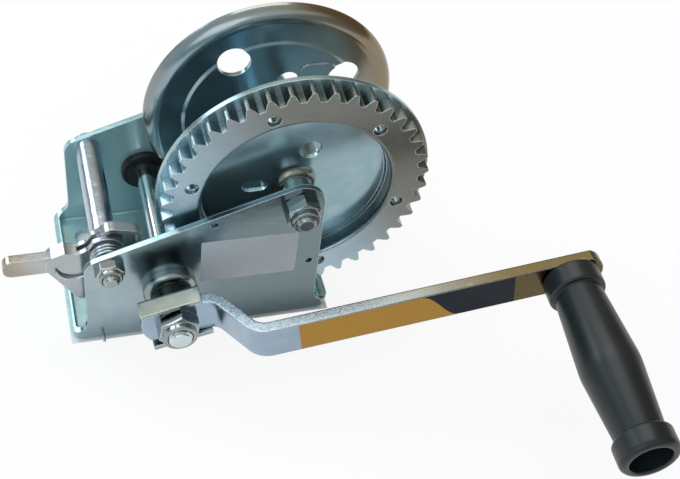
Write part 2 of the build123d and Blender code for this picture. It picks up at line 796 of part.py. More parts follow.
crank_nut, crank_ring = lock_nut(
    shaft_x, shaft_z, journal_radius, crank_flats, crank_nut_height, arm_front, crank_nut_turn
)
save(crank_nut, "crank_nut")
save(crank_ring, "crank_nut_ring")

# Grip: a moulded barrel between two collars, open at its near end, along the pin from the arm's middle
pin_axis = Axis(pin_section.origin, pin_section.y_dir)
with BuildPart() as grip:
    neck_far = grip_far - grip_collar_length
    neck_near = grip_near + grip_end_collar_length
    belly_y = grip_far - grip_belly_place * grip_length
    with BuildSketch(pin_section) as moulding:
        with BuildLine():
            Polyline(
                (grip_neck_radius, neck_far), (grip_collar_radius, neck_far), (grip_collar_radius, grip_far),
                (pin_radius + running_clearance, grip_far), (pin_radius + running_clearance, mouth_floor),
                (grip_mouth_radius, mouth_floor), (grip_mouth_radius, grip_near),
                (grip_end_collar_radius, grip_near), (grip_end_collar_radius, neck_near),
                (grip_neck_radius, neck_near),
            )
            FilletPolyline(
                (grip_neck_radius, neck_near), (grip_belly_radius, belly_y), (grip_neck_radius, neck_far),
                radius=grip_belly_round,
            )
        make_face()
        for corner, corner_round in (
            ((grip_collar_radius, grip_far), grip_collar_round),
            ((grip_collar_radius, neck_far), grip_collar_round),
            ((grip_neck_radius, neck_far), grip_neck_round),
            ((grip_neck_radius, neck_near), grip_neck_round),
            ((grip_end_collar_radius, neck_near), grip_collar_round),
            ((grip_end_collar_radius, grip_near), grip_end_round),
            ((grip_mouth_radius, grip_near), grip_mouth_round),
        ):
            fillet(moulding.vertices().sort_by_distance(corner)[0], corner_round)
    revolve(axis=pin_axis)
save(grip.part, "grip")

# Grip pin, riveted over behind the arm and over a washer in the grip's mouth
washer_near = mouth_floor - side_clearance - grip_washer_height
washer_far = mouth_floor - side_clearance
tail_near = washer_near - pin_tail_height
dome_radius = (pin_head_radius**2 + pin_head_height**2) / (2 * pin_head_height)
dome_centre = bar_half + pin_head_height - dome_radius
dome_half_angle = degrees(asin(pin_head_radius / dome_radius))
with BuildPart() as pin:
    with BuildSketch(pin_section):
        with BuildLine():
            Polyline(
                (0, bar_half + pin_head_height), (0, tail_near), (pin_tail_radius, tail_near),
                (pin_tail_radius, washer_near), (pin_radius, washer_near), (pin_radius, bar_half),
                (pin_head_radius, bar_half),
            )
            CenterArc((0, dome_centre), dome_radius, 90 - dome_half_angle, dome_half_angle)
        make_face()
    revolve(axis=pin_axis)
save(pin.part, "grip_pin")
washer_bore = pin_radius + press_clearance
grip_washer = turned(pin_section, [
    (washer_bore, washer_near), (grip_washer_radius, washer_near),
    (grip_washer_radius, washer_far), (washer_bore, washer_far),
])
save(grip_washer, "grip_washer")


def hull(*circles):
    """Sketch drawn round a set of circles, each given by its centre and radius."""
    with BuildSketch() as outline:
        with BuildLine():
            for x, z, radius in circles:
                CenterArc((x, z), radius, 0, 360)
        make_hull()
    return outline.sketch


# Pawl: a folded stamping with two cheeks, a thumb tab, and a dog on the far cheek that arches to the pinion
nose_x = shaft_x - tie_x + pawl_nose_reach * cos(radians(pawl_nose_turn))
nose_z = shaft_z - tie_z + pawl_nose_reach * sin(radians(pawl_nose_turn))
pawl_hub = (0, 0, pawl_hub_radius)
pawl_heel = (pawl_heel_x, pawl_heel_z, pawl_heel_radius)
pawl_lobe = (pawl_lobe_x, pawl_lobe_z, pawl_lobe_radius)
pawl_arch = (pawl_arch_x, pawl_arch_z, pawl_arch_radius)
pawl_brow = (pawl_brow_x, pawl_brow_z, pawl_brow_radius)
tail_outline = hull(pawl_hub, pawl_heel, pawl_lobe)
dog_outline = hull(pawl_hub, pawl_arch, pawl_brow, (nose_x, nose_z, pawl_nose_round))
with BuildSketch() as near_cheek:
    add(tail_outline)
    with Locations((pawl_saddle_x, pawl_saddle_z)):
        Circle(pawl_saddle_radius, mode=Mode.SUBTRACT)
with BuildSketch() as far_cheek:
    add(near_cheek.sketch)
    add(dog_outline)
    with Locations((shaft_x - tie_x, shaft_z - tie_z)):
        Circle(pinion_tip + pawl_tooth_gap, mode=Mode.SUBTRACT)


def fold(cheek, left, low, length, height):
    """Sketch of the folded rim of a cheek inside a rectangle, which is given by its lower left corner."""
    with BuildSketch() as rim:
        add(cheek)
        offset(cheek, amount=-pawl_sheet, kind=Kind.INTERSECTION, mode=Mode.SUBTRACT)
        with BuildSketch(mode=Mode.PRIVATE) as zone:
            with Locations((left, low)):
                Rectangle(length, height, align=(Align.MIN, Align.MIN))
        add(zone.sketch, mode=Mode.INTERSECT)
    return rim.sketch


heel_left = pawl_heel_x - pawl_heel_radius
heel_low = pawl_heel_z - pawl_heel_radius / 2
heel_fold = fold(near_cheek.sketch, heel_left, heel_low, pawl_heel_web, 2 * pawl_hub_radius)
arch_left = pawl_arch_x - pawl_arch_radius
dog_fold = fold(far_cheek.sketch, arch_left, 0, nose_x + pawl_arch_radius, 2 * pawl_arch_z)
tab_far = pawl_near + pawl_tab_step + pawl_tab_depth
with BuildPart() as pawl:
    for outline, outline_far, depth in (
        (near_cheek.sketch, pawl_near + pawl_sheet, pawl_sheet),
        (far_cheek.sketch, pawl_far, pawl_sheet),
        (heel_fold, pawl_far, pawl_width),
        (dog_fold, pawl_far, pawl_dog_width),
    ):
        with BuildSketch(near_plane(tie_x, tie_z, outline_far)):
            add(outline)
        extrude(amount=depth)
    with BuildSketch(near_plane(tie_x, tie_z, tab_far)):
        with Locations((heel_left - pawl_tab_length, pawl_tab_z)):
            tab = Rectangle(pawl_tab_length + pawl_sheet, pawl_tab_height, align=(Align.MIN, Align.CENTER))
        fillet(tab.vertices().group_by(Axis.X)[0], pawl_tab_round)
    extrude(amount=pawl_tab_depth)
    with BuildSketch(near_plane(tie_x, tie_z, pawl_far)):
        Circle(tie_tube_radius + running_clearance)
    extrude(amount=pawl_width, mode=Mode.SUBTRACT)
save(pawl.part, "pawl")


def coil_place(turns):
    """Point and direction of the spring wire after some turns of its coil, which winds clockwise."""
    angle = spring_start - 2 * pi * turns
    pitch = (spring_far - spring_near) / spring_turns
    point = Vector(
        tie_x + spring_radius * cos(angle), spring_near + pitch * turns, tie_z + spring_radius * sin(angle)
    )
    level = turns in (0, spring_turns)
    lead = 0 if level else pitch / (2 * pi)
    return point, Vector(spring_radius * sin(angle), lead, -spring_radius * cos(angle)).normalized()


def biarc(start, start_way, end, end_way):
    """Two arcs that meet in one tangent, from one point and direction to the next."""
    span = end - start
    ways = start_way + end_way
    bend = 2 * (1 - start_way.dot(end_way))
    along = span.dot(ways)
    reach = (sqrt(along**2 + bend * span.dot(span)) - along) / bend
    knee = (start + end + (start_way - end_way) * reach) * 0.5
    knee_way = (end - end_way * reach) - (start + start_way * reach)
    TangentArc(start, knee, tangent=start_way)
    TangentArc(knee, end, tangent=knee_way.normalized())


# Pawl spring: a leg that leaves through the near plate, a coil round the tube and a hook on the pawl's cheek
with BuildPart() as spring:
    first, first_way = coil_place(0)
    last, last_way = coil_place(spring_turns)
    foot = Vector(spring_exit_x, first.Y, spring_exit_z)
    exit_end = Vector(spring_exit_x, near_outer - spring_exit_length, spring_exit_z)
    exit_start = foot - Vector(0, spring_exit_bend, 0)
    leg_start = foot + first_way * spring_exit_bend
    run_end = last + last_way * spring_run
    inward = Vector(last_way.Z, 0, -last_way.X)
    hook_centre = run_end + inward * spring_hook_radius
    swing = radians(spring_hook_turn)
    hook_way = last_way * cos(swing) + inward * sin(swing)
    hook_way_out = last_way * sin(swing) - inward * cos(swing)
    hook_end = hook_centre + hook_way_out * spring_hook_radius
    with BuildLine() as wire_path:
        Line(exit_end, exit_start)
        TangentArc(exit_start, leg_start, tangent=(0, 1, 0))
        Line(leg_start, first)
        steps = round(4 * spring_turns)
        places = [coil_place(spring_turns * step / steps) for step in range(steps + 1)]
        for (start, start_way), (end, end_way) in zip(places, places[1:]):
            biarc(start, start_way, end, end_way)
        Line(last, run_end)
        TangentArc(run_end, hook_end, tangent=last_way)
        Line(hook_end, hook_end + hook_way * spring_wire)
    with BuildSketch(Plane(origin=exit_end, z_dir=(0, 1, 0))):
        Circle(spring_wire / 2)
    sweep(path=wire_path.wire())
save(spring.part, "pawl_spring")

wire = wire_path.wire()
samples = [wire.position_at(step / spring_samples) for step in range(spring_samples + 1)]
skip = round(spring_samples * pi * spring_radius / wire.length)
least = min(
    (samples[a] - samples[b]).length
    for a in range(len(samples))
    for b in range(a + skip, len(samples))
)
print(f"pawl spring: least gap to itself {least - spring_wire:.2f} mm")
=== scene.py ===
"""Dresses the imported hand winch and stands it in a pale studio.

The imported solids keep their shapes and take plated, nylon and moulded finishes. The threaded rods, the
domed ring of the bush housing, the wound pawl spring, the blank label and the two films are built
here, in metres, in the frame of the solids.
"""

import json
import logging
import math
from dataclasses import dataclass
from enum import Enum
from typing import Any, Callable, Optional, Sequence, Union

import bmesh
import bpy
from mathutils import Matrix, Vector

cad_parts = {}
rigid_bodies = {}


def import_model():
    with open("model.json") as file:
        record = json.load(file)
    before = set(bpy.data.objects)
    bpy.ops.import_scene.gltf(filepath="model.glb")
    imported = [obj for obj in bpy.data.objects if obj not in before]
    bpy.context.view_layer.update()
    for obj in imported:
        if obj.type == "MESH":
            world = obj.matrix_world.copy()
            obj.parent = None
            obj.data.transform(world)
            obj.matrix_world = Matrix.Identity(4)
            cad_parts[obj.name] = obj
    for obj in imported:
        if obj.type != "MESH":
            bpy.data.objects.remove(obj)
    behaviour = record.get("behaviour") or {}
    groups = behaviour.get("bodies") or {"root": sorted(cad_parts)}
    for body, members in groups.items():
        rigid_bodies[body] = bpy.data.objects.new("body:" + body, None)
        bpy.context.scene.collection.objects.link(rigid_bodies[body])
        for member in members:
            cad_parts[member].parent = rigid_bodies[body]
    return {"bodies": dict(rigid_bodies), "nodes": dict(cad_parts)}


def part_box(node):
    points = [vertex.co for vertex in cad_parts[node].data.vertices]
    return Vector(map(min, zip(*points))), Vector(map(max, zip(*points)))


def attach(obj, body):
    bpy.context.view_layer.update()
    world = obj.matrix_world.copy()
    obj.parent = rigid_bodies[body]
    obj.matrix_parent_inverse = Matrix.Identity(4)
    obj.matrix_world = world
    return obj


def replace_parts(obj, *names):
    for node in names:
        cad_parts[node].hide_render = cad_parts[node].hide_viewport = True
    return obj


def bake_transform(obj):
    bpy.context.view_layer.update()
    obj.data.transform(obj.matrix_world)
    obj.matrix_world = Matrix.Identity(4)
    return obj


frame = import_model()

log = logging.getLogger("hand_winch")

MM = 0.001
Colour = tuple[float, float, float]
Span = tuple[float, float]
Outline = Sequence[Span]
RowRadius = Callable[[float], float]
Ring = tuple[float, RowRadius]

EVEN = 0.5  # the middle of a noise
EDGE_STEP = (0.01, 0.16)  # how far an eased normal leans, from a face to an edge
BEVEL_SAMPLES = 4
MARK_HEIGHT = 0.2 * MM  # the full height of fine marks
WELD = 1e-7  # the distance at which two corners become one
ROD_COLUMNS, HOUSING_COLUMNS, WIRE_SIDES = 96, 128, 18
TURNED_CREASE, WIRE_CREASE, FILM_CREASE, FLOOR_CREASE = 32.0, 50.0, 25.0, 30.0


class Lay(Enum):
    """The way that the fine marks of a finish run."""

    SHEET = "rolled along the frame"
    TURNED = "round an axis along Y"
    SPUN = "in rings about the drum axis"
    BAR = "drawn along the crank arm"


class Body(Enum):
    """The bodies that new pieces ride on."""

    FRAME = "frame"
    CRANK = "crank"
    PAWL = "pawl"


class Signal:
    """A shader socket that takes part in Python arithmetic."""

    def __init__(self, tree: "FinishTree", socket: bpy.types.NodeSocket) -> None:
        """Wrap one output socket of a tree.

        Args:
            tree: the node tree that the socket belongs to.
            socket: the output socket.
        """
        self.tree = tree
        self.socket = socket

    def math(self, operation: str, first: "Operand", second: "Operand", clamp: bool = False) -> "Signal":
        """Add one Math node.

        Args:
            operation: the node's operation.
            first: its first value.
            second: its second value.
            clamp: whether the result stays between 0 and 1.

        Returns:
            The node's result.
        """
        settings = {"operation": operation, "use_clamp": clamp}
        return self.tree.node("ShaderNodeMath", settings, {"Value": first, "Value_001": second})

    def __add__(self, other: "Operand") -> "Signal":
        """Sum."""
        return self.math("ADD", self, other)

    def __radd__(self, other: "Operand") -> "Signal":
        """Sum with a number in front."""
        return self.math("ADD", other, self)

    def __sub__(self, other: "Operand") -> "Signal":
        """Difference."""
        return self.math("SUBTRACT", self, other)

    def __rsub__(self, other: "Operand") -> "Signal":
        """Difference from a number."""
        return self.math("SUBTRACT", other, self)

    def __mul__(self, other: "Operand") -> "Signal":
        """Product."""
        return self.math("MULTIPLY", self, other)

    def __pow__(self, other: "Operand") -> "Signal":
        """Power."""
        return self.math("POWER", self, other)

    def clamped(self) -> "Signal":
        """The value kept between 0 and 1."""
        return self.math("MULTIPLY", self, 1.0, clamp=True)

    def inside(self, low: float, high: float) -> "Signal":
        """Where this value lies between two limits.

        Args:
            low: the lower limit.
            high: the upper limit.

        Returns:
            1 between the limits and 0 elsewhere.
        """
        return self.math("GREATER_THAN", self, low) * self.math("LESS_THAN", self, high)

    def between(self, low: float, high: float) -> "Signal":
        """A smooth step of this value.

        Args:
            low: the value that gives 0.
            high: the value that gives 1, which may be the smaller one.

        Returns:
            The step, from 0 to 1.
        """
        settings = {"interpolation_type": "SMOOTHSTEP"}
        inputs = {"Value": self, "From Min": low, "From Max": high}
        return self.tree.node("ShaderNodeMapRange", settings, inputs)

    def sway(self, reach: float) -> "Signal":
        """A factor about 1 that follows this noise.

        Args:
            reach: how far the factor goes from end to end.

        Returns:
            The factor.
        """
        return 1.0 - reach / 2 + self * reach


Operand = Union[Signal, float, Sequence[float]]


@dataclass(frozen=True)
class Pattern:
    """A noise pattern.

    Attributes:
        scale: how many features there are in a metre.
        detail: its octaves.
        rough: the strength of the finer octaves.
    """

    scale: float
    detail: float
    rough: float = 0.55


# Patterns of the plating, of the mouldings and of the films
BROAD, CLOUD, DENT = Pattern(17.0, 2.0), Pattern(85.0, 4.0), Pattern(130.0, 2.0)
SPECK, GRAIN, SCRATCH = Pattern(620.0, 3.0, 0.65), Pattern(1900.0, 2.0, 0.6), Pattern(640.0, 1.0)
FLOW, SPARK, DUST = Pattern(45.0, 3.0), Pattern(1500.0, 2.0, 0.6), Pattern(320.0, 4.0, 0.7)
WEAR, FIBRE = Pattern(60.0, 3.0), Pattern(1300.0, 3.0, 0.65)


class FinishTree:
    """The node tree of one material or of the world."""

    def __init__(self, tree: bpy.types.NodeTree) -> None:
        """Empty a tree, ready for new nodes.

        Args:
            tree: the node tree to fill.
        """
        self.tree = tree
        self.tree.nodes.clear()

    @staticmethod
    def _socket(sockets: Any, key: str) -> bpy.types.NodeSocket:
        """Find a socket by its identifier, or else by its name.

        Args:
            sockets: a node's inputs or outputs.
            key: the identifier or name.

        Returns:
            The socket.
        """
        for socket in sockets:
            if socket.identifier == key:
                return socket
        return sockets[key]

    def node(
        self,
        kind: str,
        settings: Optional[dict[str, Any]] = None,
        inputs: Optional[dict[str, Operand]] = None,
        output: str = "",
    ) -> Signal:
        """Add any node.

        Args:
            kind: the node's type.
            settings: its own settings, which are set first.
            inputs: the values or links of its sockets.
            output: the socket that is returned, or the first.

        Returns:
            One output of the node.
        """
        made = self.tree.nodes.new(kind)
        for key, value in (settings or {}).items():
            setattr(made, key, value)
        for key, value in (inputs or {}).items():
            socket = self._socket(made.inputs, key)
            if isinstance(value, Signal):
                self.tree.links.new(value.socket, socket)
            elif socket.type == "RGBA" and len(value) == 3:
                socket.default_value = (*value, 1.0)
            else:
                socket.default_value = value
        if not made.outputs:
            return Signal(self, None)
        return Signal(self, self._socket(made.outputs, output) if output else made.outputs[0])

    def place(self) -> Signal:
        """The point on the piece, in metres in the frame of the solids."""
        return self.node("ShaderNodeTexCoord", output="Object")

    def apart(self, place: Signal) -> tuple[Signal, Signal, Signal]:
        """The three numbers of a point.

        Args:
            place: the point.

        Returns:
            Its X, Y and Z.
        """
        split = self.node("ShaderNodeSeparateXYZ", inputs={"Vector": place})
        outputs = split.socket.node.outputs
        return Signal(self, outputs["X"]), Signal(self, outputs["Y"]), Signal(self, outputs["Z"])

    def join(self, x: Operand, y: Operand, z: Operand) -> Signal:
        """A vector from three values.

        Args:
            x: its first value.
            y: its second value.
            z: its third value.

        Returns:
            The vector.
        """
        return self.node("ShaderNodeCombineXYZ", inputs={"X": x, "Y": y, "Z": z})

    def scaled(self, place: Signal, scale: Sequence[float]) -> Signal:
        """A point stretched along the axes.

        Args:
            place: the point.
            scale: the factor along each axis.

        Returns:
            The stretched point.
        """
        settings = {"operation": "MULTIPLY"}
        return self.node("ShaderNodeVectorMath", settings, {"Vector": place, "Vector_001": tuple(scale)})

    def noise(self, place: Signal, pattern: Pattern) -> Signal:
        """Soft noise about 0.5.

        Args:
            place: the point that it is read at.
            pattern: its pattern.

        Returns:
            The noise.
        """
        settings = {"Scale": pattern.scale, "Detail": pattern.detail, "Roughness": pattern.rough}
        return self.node("ShaderNodeTexNoise", {}, {"Vector": place, **settings}, "Fac")

    def mix(self, share: Operand, first: Operand, second: Operand) -> Signal:
        """Two colours mixed.

        Args:
            share: how much of the second colour there is.
            first: the first colour.
            second: the second colour.

        Returns:
            The mixed colour.
        """
        inputs = {"Factor_Float": share, "A_Color": first, "B_Color": second}
        return self.node("ShaderNodeMix", {"data_type": "RGBA"}, inputs, "Result_Color")

    def eased_normal(self, radius: float) -> Signal:
        """The normal with its sharp edges eased.

        Args:
            radius: the radius of the easing, in metres.

        Returns:
            The normal.
        """
        return self.node("ShaderNodeBevel", {"samples": BEVEL_SAMPLES}, {"Radius": radius})

    def edges(self, eased: Signal) -> Signal:
        """How near a point lies to a sharp edge.

        Args:
            eased: the eased normal.

        Returns:
            A value from 0 on a face to 1 on an edge.
        """
        flat = self.node("ShaderNodeNewGeometry", output="Normal")
        settings = {"operation": "DOT_PRODUCT"}
        match = self.node("ShaderNodeVectorMath", settings, {"Vector": eased, "Vector_001": flat}, "Value")
        return (1.0 - match).between(*EDGE_STEP)

    def bump(self, height: Signal, strength: float, depth: float, normal: Optional[Signal] = None) -> Signal:
        """A normal bent by a height.

        Args:
            height: the height, about 0 to 1.
            strength: how far the height counts.
            depth: the height of 1, in metres.
            normal: the normal to start from, or the surface's own.

        Returns:
            The bent normal.
        """
        inputs: dict[str, Operand] = {"Height": height, "Strength": strength, "Distance": depth}
        if normal is not None:
            inputs["Normal"] = normal
        return self.node("ShaderNodeBump", {}, inputs)

    def surface(self, inputs: dict[str, Operand]) -> None:
        """End the tree in one Principled shader.

        Args:
            inputs: the shader's sockets.
        """
        shader = self.node("ShaderNodeBsdfPrincipled", {}, inputs, "BSDF")
        self.node("ShaderNodeOutputMaterial", {}, {"Surface": shader})


class Finish:
    """A finish that makes its material once."""

    name: str

    def material(self) -> bpy.types.Material:
        """The finish's material, made the first time that it is asked for."""
        found = bpy.data.materials.get(self.name)
        if found is None:
            found = bpy.data.materials.new(self.name)
            found.use_nodes = True
            self.paint(FinishTree(found.node_tree))
        return found

    def paint(self, tree: FinishTree) -> None:
        """Fill the material's tree.

        Args:
            tree: the empty tree.
        """
        raise NotImplementedError


# The bright edges of this finish are rubbed metal and also a painted highlight along every edge.
@dataclass(frozen=True)
class ZincPlating(Finish):
    """Zinc plating on steel: clear blue tints, a fine lay and bright edges.

    Attributes:
        name: the material's name.
        pale: the lighter tint.
        deep: the darker tint.
        warm: the straw tint of thin patches, which on the clip is a painted warm reflection of the room.
        shine: the tint of an edge.
        rough: the middle roughness.
        spread: how far the roughness varies.
        warmth: how much straw tint there is.
        lay: the way that the fine marks run.
        ease: the radius of the eased edges, in metres.
        marks: the depth of the fine marks.
        axis: X and Z of the axis that turned or spun marks run about.
        wave: the depth of the soft dents that bend a reflection.
        painted_shade: the darker, warmer tint of painted shade and painted reflection that the piece drifts
            to.
        painted_shade_way: the way of that painted shade along X and Z.
        painted_shade_span: where the painted shade starts and ends along that way, or nothing.
        rim: the distances from the axis where a second painted shade starts and is full, or nothing.
        rim_painted_shade_share: how far that second painted shade goes.
        cut: how far the faces that look up or down show the bright, rough marks of cutting.
        veil_and_painted_light: how far a milky layer scatters the light, painting pale light into shaded
            faces.
        veil_and_painted_light_tint: the layer's colour, a painted teal reflection.
        veil_and_painted_light_span: where along Y the layer starts and ends, in metres.
    """

    name: str
    pale: Colour
    deep: Colour
    warm: Colour = (0.56, 0.53, 0.42)
    shine: Colour = (0.86, 0.92, 0.95)
    rough: float = 0.14
    spread: float = 0.06
    warmth: float = 0.1
    lay: Lay = Lay.SHEET
    ease: float = 0.0006
    marks: float = 0.03
    axis: Span = (0.0, 0.0)
    wave: float = 0.0
    painted_shade: Colour = (0.20, 0.24, 0.26)
    painted_shade_way: Span = (1.0, 0.0)
    painted_shade_span: Optional[Span] = None
    rim: Optional[Span] = None
    rim_painted_shade_share: float = 0.55
    cut: float = 0.0
    veil_and_painted_light: float = 0.0
    veil_and_painted_light_tint: Colour = (0.48, 0.80, 0.83)
    veil_and_painted_light_span: Span = (-1.0, 1.0)

    # Where the patterns turn into tints, and how far each counts
    PALE_STEP, WARM_STEP = (0.34, 0.68), (0.5, 0.8)
    CUT_STEP, TORN_STEP, CUT_ROUGH = (0.5, 0.85), (0.36, 0.66), 0.25
    SPECK_FLOOR, SPECK_SHARE = 0.36, 0.22
    SCRATCH_STRETCH, SCRATCH_STEP, SCRATCH_SHARE = (1.0, 0.35, 1.0), (0.66, 0.76), 0.04
    DRIFT_SWAY, RIM_SWAY, VEIL_SWAY = 0.03, 0.8, 0.4
    GRAIN_SPREAD, EDGE_POLISH = 0.7, 0.06

    def radius(self, tree: FinishTree, place: Signal) -> Signal:
        """The distance from the axis.

        Args:
            tree: the material's tree.
            place: the point on the piece.

        Returns:
            The distance, in metres.
        """
        x, _, z = tree.apart(place)
        from_x = x - self.axis[0]
        from_z = z - self.axis[1]
        return (from_x * from_x + from_z * from_z) ** 0.5

    def grain_place(self, tree: FinishTree, place: Signal) -> Signal:
        """The point that the fine marks are read at.

        Args:
            tree: the material's tree.
            place: the point on the piece.

        Returns:
            The point, stretched along the marks.
        """
        if self.lay is Lay.SHEET:
            return tree.scaled(place, (0.12, 0.6, 1.0))
        if self.lay is Lay.BAR:
            return tree.scaled(place, (0.06, 1.0, 0.9))
        x, y, z = tree.apart(place)
        radius = self.radius(tree, place)
        slant = x - z - (self.axis[0] - self.axis[1])
        if self.lay is Lay.SPUN:
            return tree.join(radius, y * 0.2, slant * 0.02)
        return tree.join(radius * 0.3, y, slant * 0.04)

    def paint(self, tree: FinishTree) -> None:
        """Fill the material's tree.

        Args:
            tree: the empty tree.
        """
        place = tree.place()
        broad, cloud, speck = [tree.noise(place, each) for each in (BROAD, CLOUD, SPECK)]
        drawn = self.grain_place(tree, place)
        grain = tree.noise(drawn, GRAIN)
        scratch = tree.noise(tree.scaled(drawn, self.SCRATCH_STRETCH), SCRATCH)
        eased = tree.eased_normal(self.ease)
        edge = tree.edges(eased)

        tint = tree.mix((broad * 0.6 + cloud * 0.4).between(*self.PALE_STEP), self.deep, self.pale)
        tint = tree.mix(cloud.between(*self.WARM_STEP) * self.warmth, tint, self.warm)
        rough = self.rough + (cloud - EVEN) * self.spread + (grain - EVEN) * self.spread * self.GRAIN_SPREAD
        rough = rough - edge * self.EDGE_POLISH
        if self.cut > 0.0:
            _, _, upward = tree.apart(tree.node("ShaderNodeTexCoord", output="Normal"))
            torn = 0.25 + speck.between(*self.TORN_STEP) * 0.4
            sheared = (upward * upward).between(*self.CUT_STEP) * torn * self.cut
            tint = tree.mix(sheared, tint, self.shine)
            rough = rough + sheared * self.CUT_ROUGH
        # Painted shade and painted warm reflection: the tint darkens and warms along one way across the
        # piece.
        if self.painted_shade_span is not None:
            x, _, z = tree.apart(place)
            along = x * self.painted_shade_way[0] + z * self.painted_shade_way[1] + (broad - EVEN) * self.DRIFT_SWAY
            tint = tree.mix(along.between(*self.painted_shade_span), tint, self.painted_shade)
        # A second painted shade in a band about the axis: the dark hub of the near flange, the brown rim of
        # the far flange.
        if self.rim is not None:
            rim_painted_shade = self.radius(tree, place).between(*self.rim) * broad.sway(self.RIM_SWAY) * self.rim_painted_shade_share
            tint = tree.mix(rim_painted_shade.clamped(), tint, self.painted_shade)
        tint = tree.mix((speck - self.SPECK_FLOOR).clamped() * self.SPECK_SHARE, tint, self.deep)
        tint = tree.mix(scratch.between(*self.SCRATCH_STEP) * self.SCRATCH_SHARE, tint, self.shine)
        # Edges are rubbed bright, and this also paints a highlight along every edge.
        tint = tree.mix(edge * (0.45 + speck * 0.6), tint, self.shine)

        metal: Operand = 1.0
        # A milky layer that paints pale light into shaded faces, such as the inside of the channel and of the
        # pawl.
        if self.veil_and_painted_light > 0.0:
            _, y, _ = tree.apart(place)
            milk_and_painted_light = y.inside(*self.veil_and_painted_light_span) * broad.sway(self.VEIL_SWAY) * self.veil_and_painted_light
            tint = tree.mix(milk_and_painted_light, tint, self.veil_and_painted_light_tint)
            metal = (1.0 - milk_and_painted_light).clamped()

        normal = eased
        if self.wave > 0.0:
            normal = tree.bump(broad * 0.4 + tree.noise(place, DENT) * 0.6, 1.0, self.wave, eased)
        tree.surface({
            "Base Color": tint,
            "Metallic": metal,
            "Roughness": rough.clamped(),
            "Normal": tree.bump(grain * 0.55 + speck * 0.3 + scratch * 0.15, self.marks, MARK_HEIGHT, normal),
        })


@dataclass(frozen=True)
class Moulding(Finish):
    """Moulded black plastic with a fine spark grain and worn edges.

    Attributes:
        name: the material's name.
        colour: its colour.
        worn: the colour of its rubbed edges.
        rough: the middle roughness.
        depth: the depth of the grain.
        gloss: the level of its gloss.
    """

    name: str
    colour: Colour
    worn: Colour
    rough: float = 0.36
    depth: float = 0.22
    gloss: float = 0.5

    # The radius of the eased edges, and where and how far the worn colour shows
    EASE = 0.0007
    FLOW_STEP, FLOW_WEAR = (0.3, 0.75), 0.35
    DUST_STEP, DUST_WEAR = (0.62, 0.8), 0.25
    EDGE_WEAR = 0.6

    def paint(self, tree: FinishTree) -> None:
        """Fill the material's tree.

        Args:
            tree: the empty tree.
        """
        place = tree.place()
        flow, grain, dust = [tree.noise(place, each) for each in (FLOW, SPARK, DUST)]
        eased = tree.eased_normal(self.EASE)
        tint = tree.mix(flow.between(*self.FLOW_STEP) * self.FLOW_WEAR, self.colour, self.worn)
        tint = tree.mix(dust.between(*self.DUST_STEP) * self.DUST_WEAR, tint, self.worn)
        tint = tree.mix(tree.edges(eased) * self.EDGE_WEAR, tint, self.worn)
        rough = self.rough + (flow - EVEN) * 0.18 + (grain - EVEN) * 0.12
        tree.surface({
            "Base Color": tint,
            "Roughness": rough.clamped(),
            "Specular IOR Level": self.gloss,
            "Normal": tree.bump(grain * 0.8 + dust * 0.2, self.depth, MARK_HEIGHT, eased),
        })


@dataclass(frozen=True)
class PrintedFilm(Finish):
    """Printed label film with a soft coat, faint fibres and rubbed patches.

    Attributes:
        name: the material's name.
        colour: the print's colour.
        rubbed: the colour where it has rubbed thin.
        rough: the middle roughness.
        gloss: the level of its gloss.
    """

    name: str
    colour: Colour
    rubbed: Colour
    rough: float = 0.34
    gloss: float = 0.12

    # The fibres' stretch and depth, where the print thins, and the soft coat
    FIBRE_STRETCH, FIBRE_FLOOR, FIBRE_DEPTH = (0.4, 1.0, 1.0), 0.45, 0.18
    THIN_STEP = (0.4, 0.8)
    COAT_STEP, COAT, COAT_ROUGH = (0.2, 0.7), 0.08, 0.2

    def paint(self, tree: FinishTree) -> None:
        """Fill the material's tree.

        Args:
            tree: the empty tree.
        """
        place = tree.place()
        cloud = tree.noise(place, WEAR)
        fibre = tree.noise(tree.scaled(place, self.FIBRE_STRETCH), FIBRE)
        thin = cloud.between(*self.THIN_STEP) * 0.35 + (fibre - self.FIBRE_FLOOR) * 0.3
        tree.surface({
            "Base Color": tree.mix(thin, self.colour, self.rubbed),
            "Roughness": (self.rough + (cloud - EVEN) * 0.2 + (fibre - EVEN) * 0.1).clamped(),
            "Specular IOR Level": self.gloss,
            "Coat Weight": cloud.between(*self.COAT_STEP) * self.COAT,
            "Coat Roughness": self.COAT_ROUGH,
            "Normal": tree.bump(fibre * 0.7 + cloud * 0.3, self.FIBRE_DEPTH, MARK_HEIGHT),
        })


DRUM_AXIS = (0.04716, 0.08567)
SHAFT_AXIS = (-0.0179, 0.037)
TIE_AXIS = (-0.0477, 0.0569)

# Painted shade: the plate darkens to the right; painted light: a pale teal layer on the channel's inner
# faces.
PLATE = ZincPlating(
    "zinc_plate_finish", (0.40, 0.48, 0.54), (0.31, 0.41, 0.44), rough=0.21, warmth=0.12, wave=0.0002,
    painted_shade=(0.18, 0.235, 0.25), painted_shade_span=(-0.05, 0.015), veil_and_painted_light=0.50, veil_and_painted_light_span=(-0.0415, 0.0435),
)
# Painted warm reflection on the flange's right, and painted shade about its hub.
FLANGE = ZincPlating(
    "zinc_flange_finish", (0.38, 0.50, 0.56), (0.26, 0.37, 0.42), rough=0.20, warmth=0.15, marks=0.02,
    lay=Lay.SPUN, axis=DRUM_AXIS, painted_shade=(0.17, 0.115, 0.06), painted_shade_span=(0.088, 0.116), veil_and_painted_light=0.10,
    rim=(0.0124, 0.0106), rim_painted_shade_share=0.85,
)
